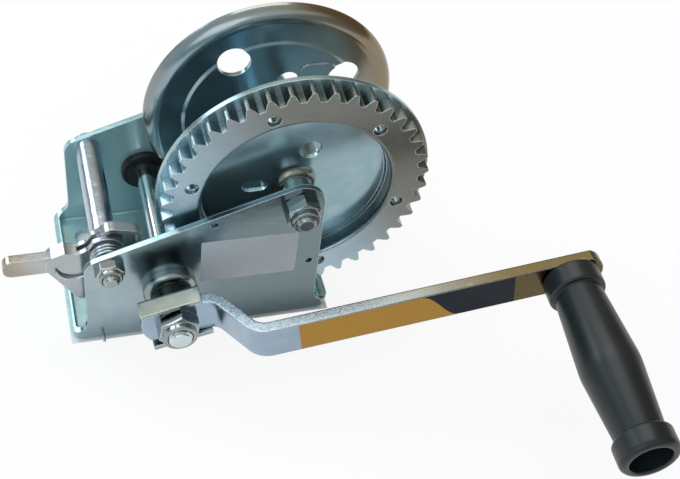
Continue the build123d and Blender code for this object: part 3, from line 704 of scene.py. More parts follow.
# Painted warm reflection: the far flange browns toward its upper right and all round its rim.
FAR_FLANGE = ZincPlating(
    "zinc_far_flange_finish", (0.36, 0.48, 0.54), (0.26, 0.37, 0.42), rough=0.18, warmth=0.15,
    marks=0.02, lay=Lay.SPUN, axis=DRUM_AXIS, painted_shade=(0.25, 0.185, 0.11), painted_shade_way=(0.85, 0.5),
    painted_shade_span=(0.10, 0.145), rim=(0.0605, 0.0655), veil_and_painted_light=0.06, veil_and_painted_light_tint=(0.30, 0.48, 0.52),
)
# Painted shade: the gear darkens toward its upper right.
GEAR = ZincPlating(
    "zinc_gear_finish", (0.41, 0.54, 0.63), (0.34, 0.46, 0.52), rough=0.27, spread=0.1, warmth=0.15,
    marks=0.06, lay=Lay.SPUN, axis=DRUM_AXIS, ease=0.0008, painted_shade=(0.18, 0.18, 0.16), painted_shade_way=(0.72, 0.69),
    painted_shade_span=(0.06, 0.135),
)
# Painted shade and warm painted reflection: the arm darkens to khaki toward the grip.
ARM = ZincPlating(
    "zinc_arm_finish", (0.36, 0.46, 0.57), (0.28, 0.38, 0.48), rough=0.20, spread=0.08,
    shine=(0.90, 0.95, 0.93), lay=Lay.BAR, ease=0.0011, marks=0.06, painted_shade=(0.10, 0.072, 0.022),
    painted_shade_span=(0.0, 0.15), cut=0.8,
)
# The clip's strong straw tint paints the warm reflection of the room over the whole clip.
CLIP = ZincPlating(
    "zinc_clip_finish", (0.38, 0.43, 0.42), (0.28, 0.32, 0.30), warm=(0.42, 0.36, 0.23), warmth=0.75,
    rough=0.18, spread=0.08, ease=0.0009, marks=0.05,
)
TUBE = ZincPlating(
    "zinc_tube_finish", (0.56, 0.62, 0.72), (0.42, 0.49, 0.58), rough=0.22, spread=0.12, marks=0.05,
    lay=Lay.TURNED, axis=TIE_AXIS, wave=0.0004,
)
# Painted shade and warm reflection toward the pawl's lower left; a pale layer paints light into its shaded
# inside.
PAWL = ZincPlating(
    "zinc_pawl_finish", (0.48, 0.52, 0.55), (0.36, 0.40, 0.43), warmth=0.35, warm=(0.48, 0.44, 0.36),
    rough=0.17, spread=0.08, ease=0.0009, marks=0.05, wave=0.0002, painted_shade=(0.31, 0.23, 0.14),
    painted_shade_way=(-0.8, -0.6), painted_shade_span=(0.030, 0.052), veil_and_painted_light=0.2, veil_and_painted_light_tint=(0.62, 0.60, 0.55),
)
STEEL = ZincPlating(
    "plain_steel_finish", (0.66, 0.75, 0.77), (0.52, 0.61, 0.63), marks=0.04, lay=Lay.TURNED,
    axis=SHAFT_AXIS,
)
FASTENER = ZincPlating(
    "bright_fastener_finish", (0.37, 0.41, 0.41), (0.24, 0.27, 0.27), warm=(0.36, 0.31, 0.21),
    rough=0.11, warmth=0.3, lay=Lay.TURNED, axis=DRUM_AXIS, ease=0.0007,
)
HOUSING = ZincPlating(
    "bush_housing_finish", (0.37, 0.43, 0.43), (0.22, 0.27, 0.27), warm=(0.36, 0.30, 0.20), warmth=0.4,
    lay=Lay.TURNED, axis=SHAFT_AXIS, ease=0.0012,
)
BLACKENED = ZincPlating(
    "blackened_steel_finish", (0.06, 0.07, 0.07), (0.03, 0.035, 0.035), warmth=0.35,
    warm=(0.07, 0.06, 0.05), shine=(0.25, 0.27, 0.27), rough=0.24, spread=0.08, lay=Lay.TURNED,
    axis=SHAFT_AXIS, ease=0.0004, marks=0.04,
)
RIVET = ZincPlating(
    "hollow_rivet_finish", (0.72, 0.79, 0.81), (0.54, 0.62, 0.64), rough=0.10, spread=0.04,
    lay=Lay.TURNED, axis=DRUM_AXIS, ease=0.0003,
)
WIRE = ZincPlating(
    "spring_wire_finish", (0.60, 0.66, 0.69), (0.42, 0.47, 0.49), warmth=0.2, ease=0.0002, marks=0.04,
)
NYLON = Moulding("black_nylon_finish", (0.010, 0.013, 0.015), (0.03, 0.036, 0.04), depth=0.1, gloss=0.4)
RING = Moulding("nut_ring_finish", (0.10, 0.13, 0.15), (0.22, 0.26, 0.28), rough=0.4, depth=0.1)
GRIP = Moulding("grip_moulding_finish", (0.006, 0.010, 0.012), (0.015, 0.025, 0.030), gloss=0.46)
PAPER = PrintedFilm("blank_label_finish", (0.50, 0.53, 0.57), (0.44, 0.47, 0.50), rough=0.4)
ORANGE = PrintedFilm("orange_film_finish", (0.47, 0.235, 0.030), (0.38, 0.20, 0.035))
NAVY = PrintedFilm("navy_film_finish", (0.010, 0.015, 0.023), (0.016, 0.022, 0.032), gloss=0.06)

NODE_FINISHES: tuple[tuple[Finish, tuple[str, ...]], ...] = (
    (PLATE, ("frame",)),
    (FLANGE, ("near_flange", "drum_barrel")),
    (FAR_FLANGE, ("far_flange",)),
    (GEAR, ("drum_gear",)),
    (RIVET, ("gear_rivets",)),
    (ARM, ("crank_arm",)),
    (CLIP, ("crank_clip",)),
    (PAWL, ("pawl",)),
    (TUBE, ("tie_tube",)),
    (GRIP, ("grip",)),
    (FASTENER, ("drum_axle_nut", "tie_nut", "drum_near_spacer", "crank_nut", "grip_pin", "grip_washer")),
    (STEEL, ("drum_axle_sleeve", "drum_far_spacer", "drive_pinion", "shaft_circlip")),
    (BLACKENED, ("shaft_collar",)),
    (NYLON, ("far_shaft_bush", "near_shaft_bush", "near_hub_bush", "far_hub_bush")),
    (RING, ("drum_axle_nut_ring", "tie_nut_ring", "crank_nut_ring")),
)


def ring(y: float, reach: float) -> Ring:
    """A round ring of a turned piece.

    Args:
        y: its place along Y.
        reach: its radius.

    Returns:
        The place, and the radius at an angle.
    """
    return y, lambda angle: reach


def about(axis: Span, y: float, reach: float, angle: float) -> Vector:
    """A point about an axis along Y.

    Args:
        axis: X and Z of the axis.
        y: the point's place along Y.
        reach: its distance from the axis.
        angle: its angle about the axis.

    Returns:
        The point.
    """
    return Vector((axis[0] + reach * math.cos(angle), y, axis[1] + reach * math.sin(angle)))


class MeshWork:
    """Meshes that the pieces of the winch are made from."""

    WIRE_EASE = 0.28  # how far a wire's end is eased, in radii
    FILM_WALL, FILM_TOP = 0.6, 0.996  # the straight part of a film's edge, and the size of its top

    @staticmethod
    def piece(
        name: str, points: Sequence[Vector], faces: Sequence[Sequence[int]], crease: float
    ) -> bpy.types.Object:
        """A shown object from points and faces.

        Args:
            name: the piece's name.
            points: its corners, in metres.
            faces: the corners of each face.
            crease: the angle between faces, in degrees, from which an edge stays sharp.

        Returns:
            The object, in the scene.
        """
        mesh = bpy.data.meshes.new(name)
        work = bmesh.new()
        corners = [work.verts.new(point) for point in points]
        for face in faces:
            work.faces.new([corners[index] for index in face])
        bmesh.ops.remove_doubles(work, verts=work.verts, dist=WELD)
        bmesh.ops.recalc_face_normals(work, faces=work.faces)
        for face in work.faces:
            face.smooth = True
        for edge in work.edges:
            edge.smooth = len(edge.link_faces) == 2 and edge.calc_face_angle() < math.radians(crease)
        work.to_mesh(mesh)
        work.free()
        made = bpy.data.objects.new(name, mesh)
        bpy.context.scene.collection.objects.link(made)
        return made

    @staticmethod
    def bands(rows: int, columns: int, closed: bool = False) -> list[list[int]]:
        """The faces between rings of points.

        Args:
            rows: the number of rings.
            columns: the points in a ring.
            closed: whether the last ring joins the first.

        Returns:
            The corners of each face.
        """
        faces = []
        for row in range(rows if closed else rows - 1):
            here, there = row * columns, (row + 1) % rows * columns
            for column in range(columns):
                after = (column + 1) % columns
                faces.append([here + column, here + after, there + after, there + column])
        return faces

    @classmethod
    def turned(
        cls, name: str, axis: Span, rows: Sequence[Ring], columns: int, bored: bool = False
    ) -> bpy.types.Object:
        """A closed piece about an axis along Y, whose radius may change with the angle.

        Args:
            name: the piece's name.
            axis: X and Z of its axis.
            rows: the place along Y of each ring and its radius at an angle.
            columns: the points in a ring.
            bored: whether the last ring joins the first, which leaves a bore.

        Returns:
            The object.
        """
        angles = [2 * math.pi * column / columns for column in range(columns)]
        points = [about(axis, y, radius(angle), angle) for y, radius in rows for angle in angles]
        faces = cls.bands(len(rows), columns, bored)
        for row in () if bored else (0, len(rows) - 1):
            points.append(about(axis, rows[row][0], 0.0, 0.0))
            centre = len(points) - 1
            for column in range(columns):
                faces.append([row * columns + column, row * columns + (column + 1) % columns, centre])
        return cls.piece(name, points, faces, TURNED_CREASE)

    @classmethod
    def tube(cls, name: str, route: Sequence[Vector], radius: float, sides: int) -> bpy.types.Object:
        """A round wire along a route, with eased ends.

        Args:
            name: the piece's name.
            route: the points of its middle line.
            radius: the wire's radius.
            sides: the points in a ring.

        Returns:
            The object.
        """
        last = len(route) - 1
        ways = []
        for index in range(len(route)):
            before, after = route[max(index - 1, 0)], route[min(index + 1, last)]
            ways.append((after - before).normalized())
        side = ways[0].orthogonal().normalized()
        rings: list[tuple[Vector, Vector, Vector, float]] = []
        for index, (point, way) in enumerate(zip(route, ways)):
            side = (side - way * side.dot(way)).normalized()
            if index in (0, last):
                out = -1.0 if index == 0 else 1.0
                inner = point - way * out * radius * cls.WIRE_EASE
                ease = [(point, 1.0 - cls.WIRE_EASE), (inner, 1.0)]
                for middle, share in ease if index == 0 else reversed(ease):
                    rings.append((middle, side.copy(), way, radius * share))
            else:
                rings.append((point, side.copy(), way, radius))
        points = []
        for middle, across, way, reach in rings:
            other = way.cross(across)
            for step in range(sides):
                angle = 2 * math.pi * step / sides
                points.append(middle + (across * math.cos(angle) + other * math.sin(angle)) * reach)
        faces = cls.bands(len(rings), sides)
        faces.append(list(range(sides)))
        faces.append(list(range((len(rings) - 1) * sides, len(rings) * sides)))
        return cls.piece(name, points, faces, WIRE_CREASE)

    @classmethod
    def film(
        cls, name: str, outline: Outline, origin: Vector, along: Vector, up: Vector, thickness: float
    ) -> bpy.types.Object:
        """A thin film on a flat face, with a sloped edge.

        Args:
            name: the piece's name.
            outline: its corners, anticlockwise, along and up from the origin.
            origin: a point on the face.
            along: the face's first direction.
            up: the face's second direction.
            thickness: how far it stands off the face.

        Returns:
            The object.
        """
        out = along.cross(up).normalized()
        count = len(outline)
        middle = (sum(a for a, _ in outline) / count, sum(b for _, b in outline) / count)
        layers = ((0.0, 1.0), (thickness * cls.FILM_WALL, 1.0), (thickness, cls.FILM_TOP))
        points = []
        for lift, share in layers:
            for a, b in outline:
                a_in = middle[0] + (a - middle[0]) * share
                b_in = middle[1] + (b - middle[1]) * share
                points.append(origin + along * a_in + up * b_in + out * lift)
        low, high = list(range(count)), list(range(2 * count, 3 * count))
        return cls.piece(name, points, [low, *cls.bands(len(layers), count), high], FILM_CREASE)


def dress() -> None:
    """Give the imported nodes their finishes."""
    for finish, names in NODE_FINISHES:
        for name in names:
            mesh = frame["nodes"][name].data
            mesh.materials.clear()
            mesh.materials.append(finish.material())


def carry(piece: bpy.types.Object, finish: Finish, body: Body) -> bpy.types.Object:
    """Give a new piece its finish and its body.

    Args:
        piece: the piece, in place.
        finish: its finish.
        body: the body that it rides on.

    Returns:
        The piece.
    """
    piece.data.materials.append(finish.material())
    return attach(piece, body.value)


@dataclass
class ThreadedRod:
    """A bolt or shaft end with a real thread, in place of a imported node.

    Attributes:
        node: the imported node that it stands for.
        axis: X and Z of its axis.
        radius: the thread's outer radius.
        pitch: the thread's pitch.
        thread_start: where the thread starts, along Y.
        end: where the near end lies, along Y.
        lead: the length of the end's chamfer.
    """

    node: str
    axis: Span
    radius: float
    pitch: float
    thread_start: float
    end: float
    lead: float = 1.2 * MM

    # The flank's slope, the crest's width and the depth of the thread, in pitches, its rings and its end
    FLANK, CREST, DEPTH = 2.6, 0.25, 0.6
    PITCH_RINGS = 12
    END_SHARE = 0.86

    def thread(self, y: float, angle: float) -> float:
        """The thread's radius.

        Args:
            y: the place along Y.
            angle: the angle about the axis.

        Returns:
            The radius there.
        """
        phase = (y / self.pitch + angle / (2 * math.pi)) % 1.0
        fall = min(1.0, max(0.0, self.FLANK * abs(phase - 0.5) - self.CREST))
        reach = self.radius - self.DEPTH * self.pitch * fall
        return min(reach, self.radius - self.lead + (y - self.end))

    def thread_rows(self) -> list[Ring]:
        """The rings of the thread, from its start to the near end."""
        count = round((self.thread_start - self.end) / self.pitch * self.PITCH_RINGS)
        rows: list[Ring] = []
        for step in range(count + 1):
            y = self.thread_start + (self.end - self.thread_start) * step / count
            rows.append((y, lambda angle, y=y: self.thread(y, angle)))
        rows.append(ring(self.end, (self.radius - self.lead) * self.END_SHARE))
        return rows

    def stand_in(self, rows: Sequence[Ring], finish: Finish, body: Body, slot: str) -> bpy.types.Object:
        """Make the piece, in place of its node.

        Args:
            rows: its rings before the thread.
            finish: its finish.
            body: the body that it rides on.
            slot: not used.

        Returns:
            The piece.
        """
        rings = [*rows, *self.thread_rows()]
        made = MeshWork.turned(self.node + "_threaded", self.axis, rings, ROD_COLUMNS)
        carry(made, finish, body)
        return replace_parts(made, self.node)


@dataclass
class HexBolt(ThreadedRod):
    """A hexagon bolt from its head on the far side to its threaded end.

    Attributes:
        flats: the width across the head's flats.
        head: the head's height.
        seat: the face that the head sits on, along Y.
    """

    flats: float = 16.0 * MM
    head: float = 6.4 * MM
    seat: float = 44.0 * MM

    # The chamfer's radius at the top in half flats, its angle, its height in flats and its rings,
    # and the radius of the ring inside it, in flats
    CROWN, CHAMFER, FALL, FALL_RINGS, DISC = 0.985, 30.0, 0.0774, 6, 0.36

    def hexagon(self, y: float, angle: float) -> float:
        """The head's radius.

        Args:
            y: the place along Y.
            angle: the angle about the axis.

        Returns:
            The radius of the hexagon, cut by the chamfer of its top.
        """
        half = self.flats / 2
        corner = half / math.cos(math.pi / 6)
        flat = half / math.cos(angle % (math.pi / 3) - math.pi / 6)
        cone = half * self.CROWN + (self.seat + self.head - y) / math.tan(math.radians(self.CHAMFER))
        return min(flat, cone, corner)

    def build(self) -> bpy.types.Object:
        """The bolt, in place of its node."""
        top = self.seat + self.head
        drop = self.flats * self.FALL / self.FALL_RINGS
        places = [*(top - drop * step for step in range(self.FALL_RINGS + 1)), self.seat]
        rows = [ring(top, self.flats * self.DISC)]
        rows += [(y, lambda angle, y=y: self.hexagon(y, angle)) for y in places]
        rows += [ring(self.seat, self.radius), ring(self.thread_start, self.radius)]
        return self.stand_in(rows, FASTENER, Body.FRAME, "bright_fastener")


@dataclass
class CupBolt(ThreadedRod):
    """A bolt from its low cup head on the far side to its threaded end.

    Attributes:
        head_radius: the head's radius.
        head: the head's height.
        rim: the height of the head's straight rim.
        seat: the face that the head sits on, along Y.
    """

    head_radius: float = 7.4 * MM
    head: float = 3.0 * MM
    rim: float = 0.8 * MM
    seat: float = 44.0 * MM

    DOME_STEPS = 12

    def build(self) -> bpy.types.Object:
        """The bolt, in place of its node."""
        rise = self.head - self.rim
        dome = (self.head_radius**2 + rise**2) / (2 * rise)
        swing = math.asin(self.head_radius / dome) / self.DOME_STEPS
        rows = []
        for step in range(1, self.DOME_STEPS + 1):
            fall = dome * (1 - math.cos(swing * step))
            rows.append(ring(self.seat + self.head - fall, dome * math.sin(swing * step)))
        rows += [ring(self.seat, self.head_radius), ring(self.seat, self.radius)]
        rows.append(ring(self.thread_start, self.radius))
        return self.stand_in(rows, FASTENER, Body.FRAME, "bright_fastener")


@dataclass
class CrankShaft(ThreadedRod):
    """The pinion shaft, from its circlip groove to the threaded end under the crank nut.

    Attributes:
        steps: the radius and place along Y of each corner before the thread.
    """

    steps: Outline = ()

    def build(self) -> bpy.types.Object:
        """The shaft, in place of its node."""
        rows = [ring(y, reach) for reach, y in self.steps]
        return self.stand_in(rows, STEEL, Body.CRANK, "plain_steel")


@dataclass
class WinchFrame:
    """What is added to the frame: the threaded bolts, the housing's ring and the blank label.

    Attributes:
        face: the near plate's outer face, along Y.
        label_middle: X and Z of the label's middle.
        label_size: the label's width and height.
        label_round: the radius of the label's corners.
        label_tilt: how far the label is turned, in degrees.
        film: the label's thickness.
        housing_bore: the bore of the near bush's housing.
        housing_radius: the housing's outer radius.
        housing_wall: the height of its straight wall under the domed ring.
    """

    face: float = -44.0 * MM
    label_middle: Span = (22.75 * MM, 52.0 * MM)
    label_size: Span = (49.7 * MM, 29.9 * MM)
    label_round: float = 0.8 * MM
    label_tilt: float = -0.9
    film: float = 0.12 * MM
    housing_bore: float = 9.42 * MM
    housing_radius: float = 13.8 * MM
    housing_wall: float = 2.6 * MM

    # Points of the ring's dome and of a corner of the label
    DOME_STEPS = 16
    CORNER_STEPS = 6

    def housing(self) -> bpy.types.Object:
        """The near bush's housing, with its domed ring, in place of its node."""
        rise = self.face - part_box("near_bush_housing")[0].y - self.housing_wall
        width = self.housing_radius - self.housing_bore
        corners = [(self.housing_bore, 0.0), (self.housing_radius, 0.0)]
        for step in range(self.DOME_STEPS + 1):
            angle = math.pi / 2 * step / self.DOME_STEPS
            reach = self.housing_bore + width * math.cos(angle)
            corners.append((reach, self.housing_wall + rise * math.sin(angle)))
        rows = [ring(self.face - out, reach) for reach, out in corners]
        made = MeshWork.turned("near_bush_housing_ring", SHAFT_AXIS, rows, HOUSING_COLUMNS, bored=True)
        carry(made, HOUSING, Body.FRAME)
        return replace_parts(made, "near_bush_housing")

    def label(self) -> bpy.types.Object:
        """The blank label on the near plate."""
        half_x, half_z = self.label_size[0] / 2, self.label_size[1] / 2
        outline = []
        for turn, (side_x, side_z) in enumerate(((1, 1), (-1, 1), (-1, -1), (1, -1))):
            for step in range(self.CORNER_STEPS + 1):
                angle = math.radians(90 * turn + 90 / self.CORNER_STEPS * step)
                outline.append((
                    side_x * (half_x - self.label_round) + self.label_round * math.cos(angle),
                    side_z * (half_z - self.label_round) + self.label_round * math.sin(angle),
                ))
        tilt = math.radians(self.label_tilt)
        along = Vector((math.cos(tilt), 0.0, math.sin(tilt)))
        up = Vector((-math.sin(tilt), 0.0, math.cos(tilt)))
        origin = Vector((self.label_middle[0], self.face, self.label_middle[1]))
        made = MeshWork.film("blank_label", outline, origin, along, up, self.film)
        return carry(made, PAPER, Body.FRAME)

    def build(self) -> list[bpy.types.Object]:
        """The frame's new pieces."""
        thread_start = -45.0 * MM
        axle = HexBolt(
            "drum_axle_bolt", DRUM_AXIS, radius=5.0 * MM, pitch=1.5 * MM, thread_start=thread_start,
            end=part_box("drum_axle_bolt")[0].y,
        )
        tie = CupBolt(
            "tie_bolt", TIE_AXIS, radius=4.0 * MM, pitch=1.25 * MM, thread_start=thread_start,
            end=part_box("tie_bolt")[0].y,
        )
        return [axle.build(), tie.build(), self.housing(), self.label()]


@dataclass
class Crank:
    """What is added to the crank: the threaded shaft and the two-colour film.

    Attributes:
        pin: where the grip's pin crosses the arm's middle.
        pin_way: the pin's direction, away from the grip.
        lean: the arm's angle above the base, in degrees.
        face: how far the arm's face lies from its middle.
        film_span: where the film starts and ends along the arm, from the pin.
        film_swing: where the two colours meet at the upper and lower edge, from the pin.
        film_half: half of the film's height.
        film: the film's thickness.
    """

    pin: Vector = Vector((0.1745368647, -0.0940096282, 0.0685127451))
    pin_way: Vector = Vector((0.0206671468, 0.9997806835, 0.0033843751))
    lean: float = 9.3
    face: float = 3.0 * MM
    film_span: Span = (-138.2 * MM, -28.8 * MM)
    film_swing: Span = (-76.5 * MM, -57.6 * MM)
    film_half: float = 9.7 * MM
    film: float = 0.1 * MM

    MEET_STEPS = 24

    def films(self) -> list[bpy.types.Object]:
        """The two blank films on the arm, which meet in one curve."""
        up = Vector((-math.sin(math.radians(self.lean)), 0.0, math.cos(math.radians(self.lean))))
        along = self.pin_way.cross(up).normalized()
        origin = self.pin - self.pin_way * self.face
        top, low = self.film_swing
        meet = []
        for step in range(self.MEET_STEPS + 1):
            share = step / self.MEET_STEPS
            meet.append((top + (low - top) * share, self.film_half * math.cos(math.pi * share)))
        start, end = self.film_span
        orange = [(start, self.film_half), (start, -self.film_half), *reversed(meet)]
        navy = [*meet, (end, -self.film_half), (end, self.film_half)]
        pieces = []
        for name, outline, finish in (("orange_film", orange, ORANGE), ("navy_film", navy, NAVY)):
            made = MeshWork.film(name, outline, origin, along, up, self.film)
            pieces.append(carry(made, finish, Body.CRANK))
        return pieces

    def build(self) -> list[bpy.types.Object]:
        """The crank's new pieces."""
        low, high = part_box("pinion_shaft")
        pinion_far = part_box("drive_pinion")[1].y
        wide, slim, groove, tip = 6.0 * MM, 5.0 * MM, 4.5 * MM, 4.5 * MM
        groove_near, groove_width, chamfer = 44.3 * MM, 1.22 * MM, 0.4 * MM
        groove_far = groove_near + groove_width
        thread_start = -69.0 * MM
        shaft = CrankShaft(
            "pinion_shaft", SHAFT_AXIS, radius=wide, pitch=1.75 * MM, thread_start=thread_start, end=low.y,
            steps=(
                (tip, high.y), (slim, high.y - chamfer), (slim, groove_far), (groove, groove_far),
                (groove, groove_near), (slim, groove_near), (slim, pinion_far), (wide, pinion_far),
                (wide, thread_start),
            ),
        )
        return [shaft.build(), *self.films()]


@dataclass
class Ratchet:
    """The pawl's wound spring.

    Attributes:
        wire: the wire's diameter.
        coil: the radius of the coil's middle line.
        near: where the coil starts, along Y.
        gap: the room between two turns.
        start: the angle where the coil starts, in degrees.
        leave: the angle where it ends, in degrees.
        whole_turns: the whole turns of the coil.
        exit_z: the height where the lower leg leaves through the near plate.
        exit_bend: the radius of the bend there.
        exit_end: where the lower leg ends, along Y.
        run: the straight length after the coil.
        hook: the radius of the hook.
        hook_turn: the hook's angle, in degrees.
    """

    wire: float = 1.5 * MM
    coil: float = 7.6 * MM
    near: float = -39.9 * MM
    gap: float = 0.5 * MM
    start: float = 183.3
    leave: float = -63.0
    whole_turns: int = 2
    exit_z: float = 4.3 * MM
    exit_bend: float = 1.2 * MM
    exit_end: float = -48.5 * MM
    run: float = 17.5 * MM
    hook: float = 9.0 * MM
    hook_turn: float = 95.0

    # Points of the exit's bend, of one turn and of the hook, and where the wound part starts
    BEND_STEPS = 8
    TURN_STEPS = 40
    HOOK_STEPS = 24
    WOUND_INSET = 0.55

    def route(self) -> tuple[list[Vector], float]:
        """The spring's middle line.

        Returns:
            Its points, and where the coil ends along Y.
        """
        turns = self.whole_turns + (self.start - self.leave) / 360
        far = self.near + turns * (self.wire + self.gap)
        angle = math.radians(self.start)
        first = about(TIE_AXIS, self.near, self.coil, angle)
        rise = Vector((math.sin(angle), 0.0, -math.cos(angle)))
        foot = first - rise * ((first.z - self.exit_z) / rise.z)
        points = [Vector((foot.x, self.exit_end, self.exit_z))]
        inward = Vector((0.0, 1.0, 0.0))
        middle = foot - inward * self.exit_bend + rise * self.exit_bend
        for step in range(self.BEND_STEPS + 1):
            swing = math.pi / 2 * step / self.BEND_STEPS
            points.append(middle + (inward * math.sin(swing) - rise * math.cos(swing)) * self.exit_bend)
        points += [foot + (first - foot) * share for share in (0.25, 0.5, 0.75)]
        steps = round(turns * self.TURN_STEPS)
        for step in range(steps + 1):
            share = step / steps
            angle = math.radians(self.start) - 2 * math.pi * turns * share
            points.append(about(TIE_AXIS, self.near + (far - self.near) * share, self.coil, angle))
        way = Vector((math.sin(angle), 0.0, -math.cos(angle)))
        inner = Vector((way.z, 0.0, -way.x))
        run_end = points[-1] + way * self.run
        points += [points[-1] + way * (self.run * 0.5), run_end]
        hook_middle = run_end + inner * self.hook
        swing = 0.0
        for step in range(1, self.HOOK_STEPS + 1):
            swing = math.radians(self.hook_turn) * step / self.HOOK_STEPS
            points.append(hook_middle + (way * math.sin(swing) - inner * math.cos(swing)) * self.hook)
        points.append(points[-1] + (way * math.cos(swing) + inner * math.sin(swing)) * self.wire)
        return points, far

    def build(self) -> list[bpy.types.Object]:
        """The wound spring, in place of its node."""
        route, far = self.route()
        spring = MeshWork.tube("wound_spring", route, self.wire / 2, WIRE_SIDES)
        spring.data.materials.append(WIRE.material())
        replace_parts(spring, "pawl_spring")
        inset = self.wire * self.WOUND_INSET
        far - inset
        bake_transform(spring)
        return [spring]


@dataclass(frozen=True)
class SoftBox:
    """A soft lamp.

    Attributes:
        name: the lamp's name.
        place: where it hangs.
        size: its width and height.
        power: its power, in watts.
        colour: its colour.
    """

    name: str
    place: tuple[float, float, float]
    size: Span
    power: float
    colour: Colour

    def hang(self, target: Vector) -> None:
        """Hang the lamp.

        Args:
            target: the point that it faces.
        """
        data = bpy.data.lights.new(self.name, "AREA")
        data.shape = "RECTANGLE"
        data.size, data.size_y = self.size
        data.energy = self.power
        data.color = self.colour
        made = bpy.data.objects.new(self.name, data)
        bpy.context.scene.collection.objects.link(made)
        made.location = self.place
        made.rotation_mode = "QUATERNION"
        made.rotation_quaternion = (target - Vector(self.place)).to_track_quat("-Z", "Y")


LAMPS = (
    SoftBox("high_soft_box", (0.04, 0.49, 1.17), (0.9, 0.55), 4.0, (1.0, 0.99, 0.97)),
    SoftBox("left_soft_box", (-0.75, 0.70, 0.70), (0.5, 0.6), 4.0, (0.80, 0.92, 1.0)),
    SoftBox("front_soft_box", (-0.6, -0.9, 0.9), (1.0, 0.8), 2.5, (0.95, 0.98, 1.0)),
)


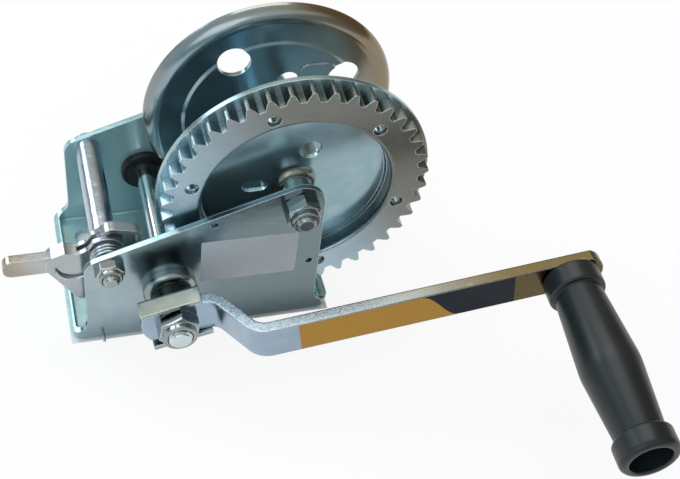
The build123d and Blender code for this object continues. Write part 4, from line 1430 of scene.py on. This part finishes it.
@dataclass
class Studio:
    """The pale floor, the soft room, the lamps and the camera.

    Attributes:
        eye: where the camera stands.
        right: the camera's right.
        down: the camera's down.
        forward: the way that it looks.
        sensor: the width of its sensor, in mm.
        lens: its focal length, in mm.
        clip: the nearest and the farthest distance that it shows.
        floor_half: half of the floor's side.
        floor_colour: the floor's colour.
        floor_white: how far the floor shows as plain white, to the camera and in reflections.
        shade: how far in front of the frame its reflections keep the frame's shadow.
        target: the point that the lamps face.
        warm_side: the room's colour on the right.
        cool_side: its colour on the left.
        front: its colour behind the camera.
        ceiling: its colour overhead.
        window: the bright band behind the camera.
        wall_low: the lower part of the back wall.
        wall_high: the upper part of the back wall.
    """

    eye: Vector = Vector((-0.08665, -0.4555, 0.5491))
    right: Vector = Vector((0.9636, -0.2482, 0.0993))
    down: Vector = Vector((-0.1232, -0.7420, -0.6590))
    forward: Vector = Vector((0.2372, 0.6228, -0.7456))
    sensor: float = 36.0
    lens: float = 68.17
    clip: Span = (0.01, 50.0)
    floor_half: float = 4.0
    floor_colour: Colour = (0.95, 0.95, 0.95)
    floor_white: float = 0.88
    shade: float = 0.025
    target: Vector = Vector((0.03, -0.05, 0.05))
    warm_side: Colour = (0.28, 0.21, 0.13)
    cool_side: Colour = (0.60, 0.75, 0.86)
    front: Colour = (0.36, 0.45, 0.47)
    ceiling: Colour = (0.80, 0.84, 0.86)
    window: Colour = (0.92, 1.0, 1.02)
    wall_low: Colour = (0.20, 0.17, 0.13)
    wall_high: Colour = (0.50, 0.46, 0.36)

    def camera(self) -> None:
        """Set the camera where the photograph was taken from."""
        data = bpy.data.cameras.new("studio_camera")
        data.sensor_width = self.sensor
        data.lens = self.lens
        data.clip_start, data.clip_end = self.clip
        made = bpy.data.objects.new("studio_camera", data)
        bpy.context.scene.collection.objects.link(made)
        axes = Matrix((self.right, -self.down, -self.forward)).transposed()
        made.matrix_world = Matrix.Translation(self.eye) @ axes.to_4x4()
        bpy.context.scene.camera = made

    def floor(self) -> None:
        """Lay the floor under the base."""
        half = self.floor_half
        points = [Vector((x * half, y * half, 0.0)) for x, y in ((-1, -1), (1, -1), (1, 1), (-1, 1))]
        made = MeshWork.piece("studio_floor", points, [[0, 1, 2, 3]], FLOOR_CREASE)
        paint = bpy.data.materials.new("studio_floor_paint")
        paint.use_nodes = True
        tree = FinishTree(paint.node_tree)
        matt = tree.node("ShaderNodeBsdfDiffuse", {}, {"Color": self.floor_colour})
        white = tree.node("ShaderNodeEmission", {}, {"Color": (1.0, 1.0, 1.0), "Strength": 1.0})
        seen = tree.node("ShaderNodeLightPath", output="Is Camera Ray")
        rays = seen.socket.node.outputs
        glossy = Signal(tree, rays["Is Glossy Ray"])
        shown = (seen + Signal(tree, rays["Is Transmission Ray"]) + glossy).clamped()
        low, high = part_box("frame")
        x, y, _ = tree.apart(tree.place())
        across = x.inside(low.x, high.x)
        covered = across * y.inside(low.y, high.y)
        shaded = across * y.inside(-half, high.y) * y.between(low.y - self.shade, low.y)
        share = shown * (1.0 - covered) * (1.0 - shaded * glossy) * self.floor_white
        both = tree.node("ShaderNodeMixShader", {}, {"Fac": share, "Shader": matt, "Shader_001": white})
        tree.node("ShaderNodeOutputMaterial", {}, {"Surface": both})
        made.data.materials.append(paint)

    def world(self) -> None:
        """Fill the room with a soft light: cool on the left, warm and dim on the right, bright above."""
        made = bpy.data.worlds.new("studio_room")
        made.use_nodes = True
        bpy.context.scene.world = made
        tree = FinishTree(made.node_tree)
        x, y, z = tree.apart(tree.node("ShaderNodeTexCoord", output="Generated"))
        ahead = y * -1.0
        leftward = (y * 0.3 - x * 0.9).between(-0.45, 0.7)
        overhead = z.between(0.7, 0.97)
        band = ahead.between(0.2, 0.6) * z.between(0.38, 0.6)
        behind = y.between(0.25, 0.6) * (1.0 - z.between(0.78, 0.88))
        wall = tree.mix(z.between(0.3, 0.6), self.wall_low, self.wall_high)
        room = tree.mix(leftward, self.warm_side, self.cool_side)
        layers = (
            (ahead.between(0.1, 0.9), 0.7, self.front), (overhead, 0.8, self.ceiling),
            (band, 0.9, self.window), (behind, 0.85, wall),
        )
        for place, share, colour in layers:
            room = tree.mix(place * share, room, colour)
        light = tree.node("ShaderNodeBackground", {}, {"Color": room, "Strength": 1.0})
        tree.node("ShaderNodeOutputWorld", {}, {"Surface": light})

    def build(self) -> None:
        """Set the whole studio."""
        keep = {*frame["nodes"].values(), *frame["bodies"].values()}
        for other in [each for each in bpy.data.objects if each not in keep]:
            bpy.data.objects.remove(other)
        bpy.context.scene.view_settings.view_transform = "Standard"
        self.camera()
        self.floor()
        self.world()
        for lamp in LAMPS:
            lamp.hang(self.target)


def main() -> None:
    """Build the studio and the winch."""
    logging.basicConfig(level=logging.INFO, format="%(name)s: %(message)s")
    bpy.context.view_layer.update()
    Studio().build()
    dress()
    for assembly in (WinchFrame(), Crank(), Ratchet()):
        for piece in assembly.build():
            log.info("%s: %s, %d faces", type(assembly).__name__, piece.name, len(piece.data.polygons))


if __name__ == "__main__":
    main()
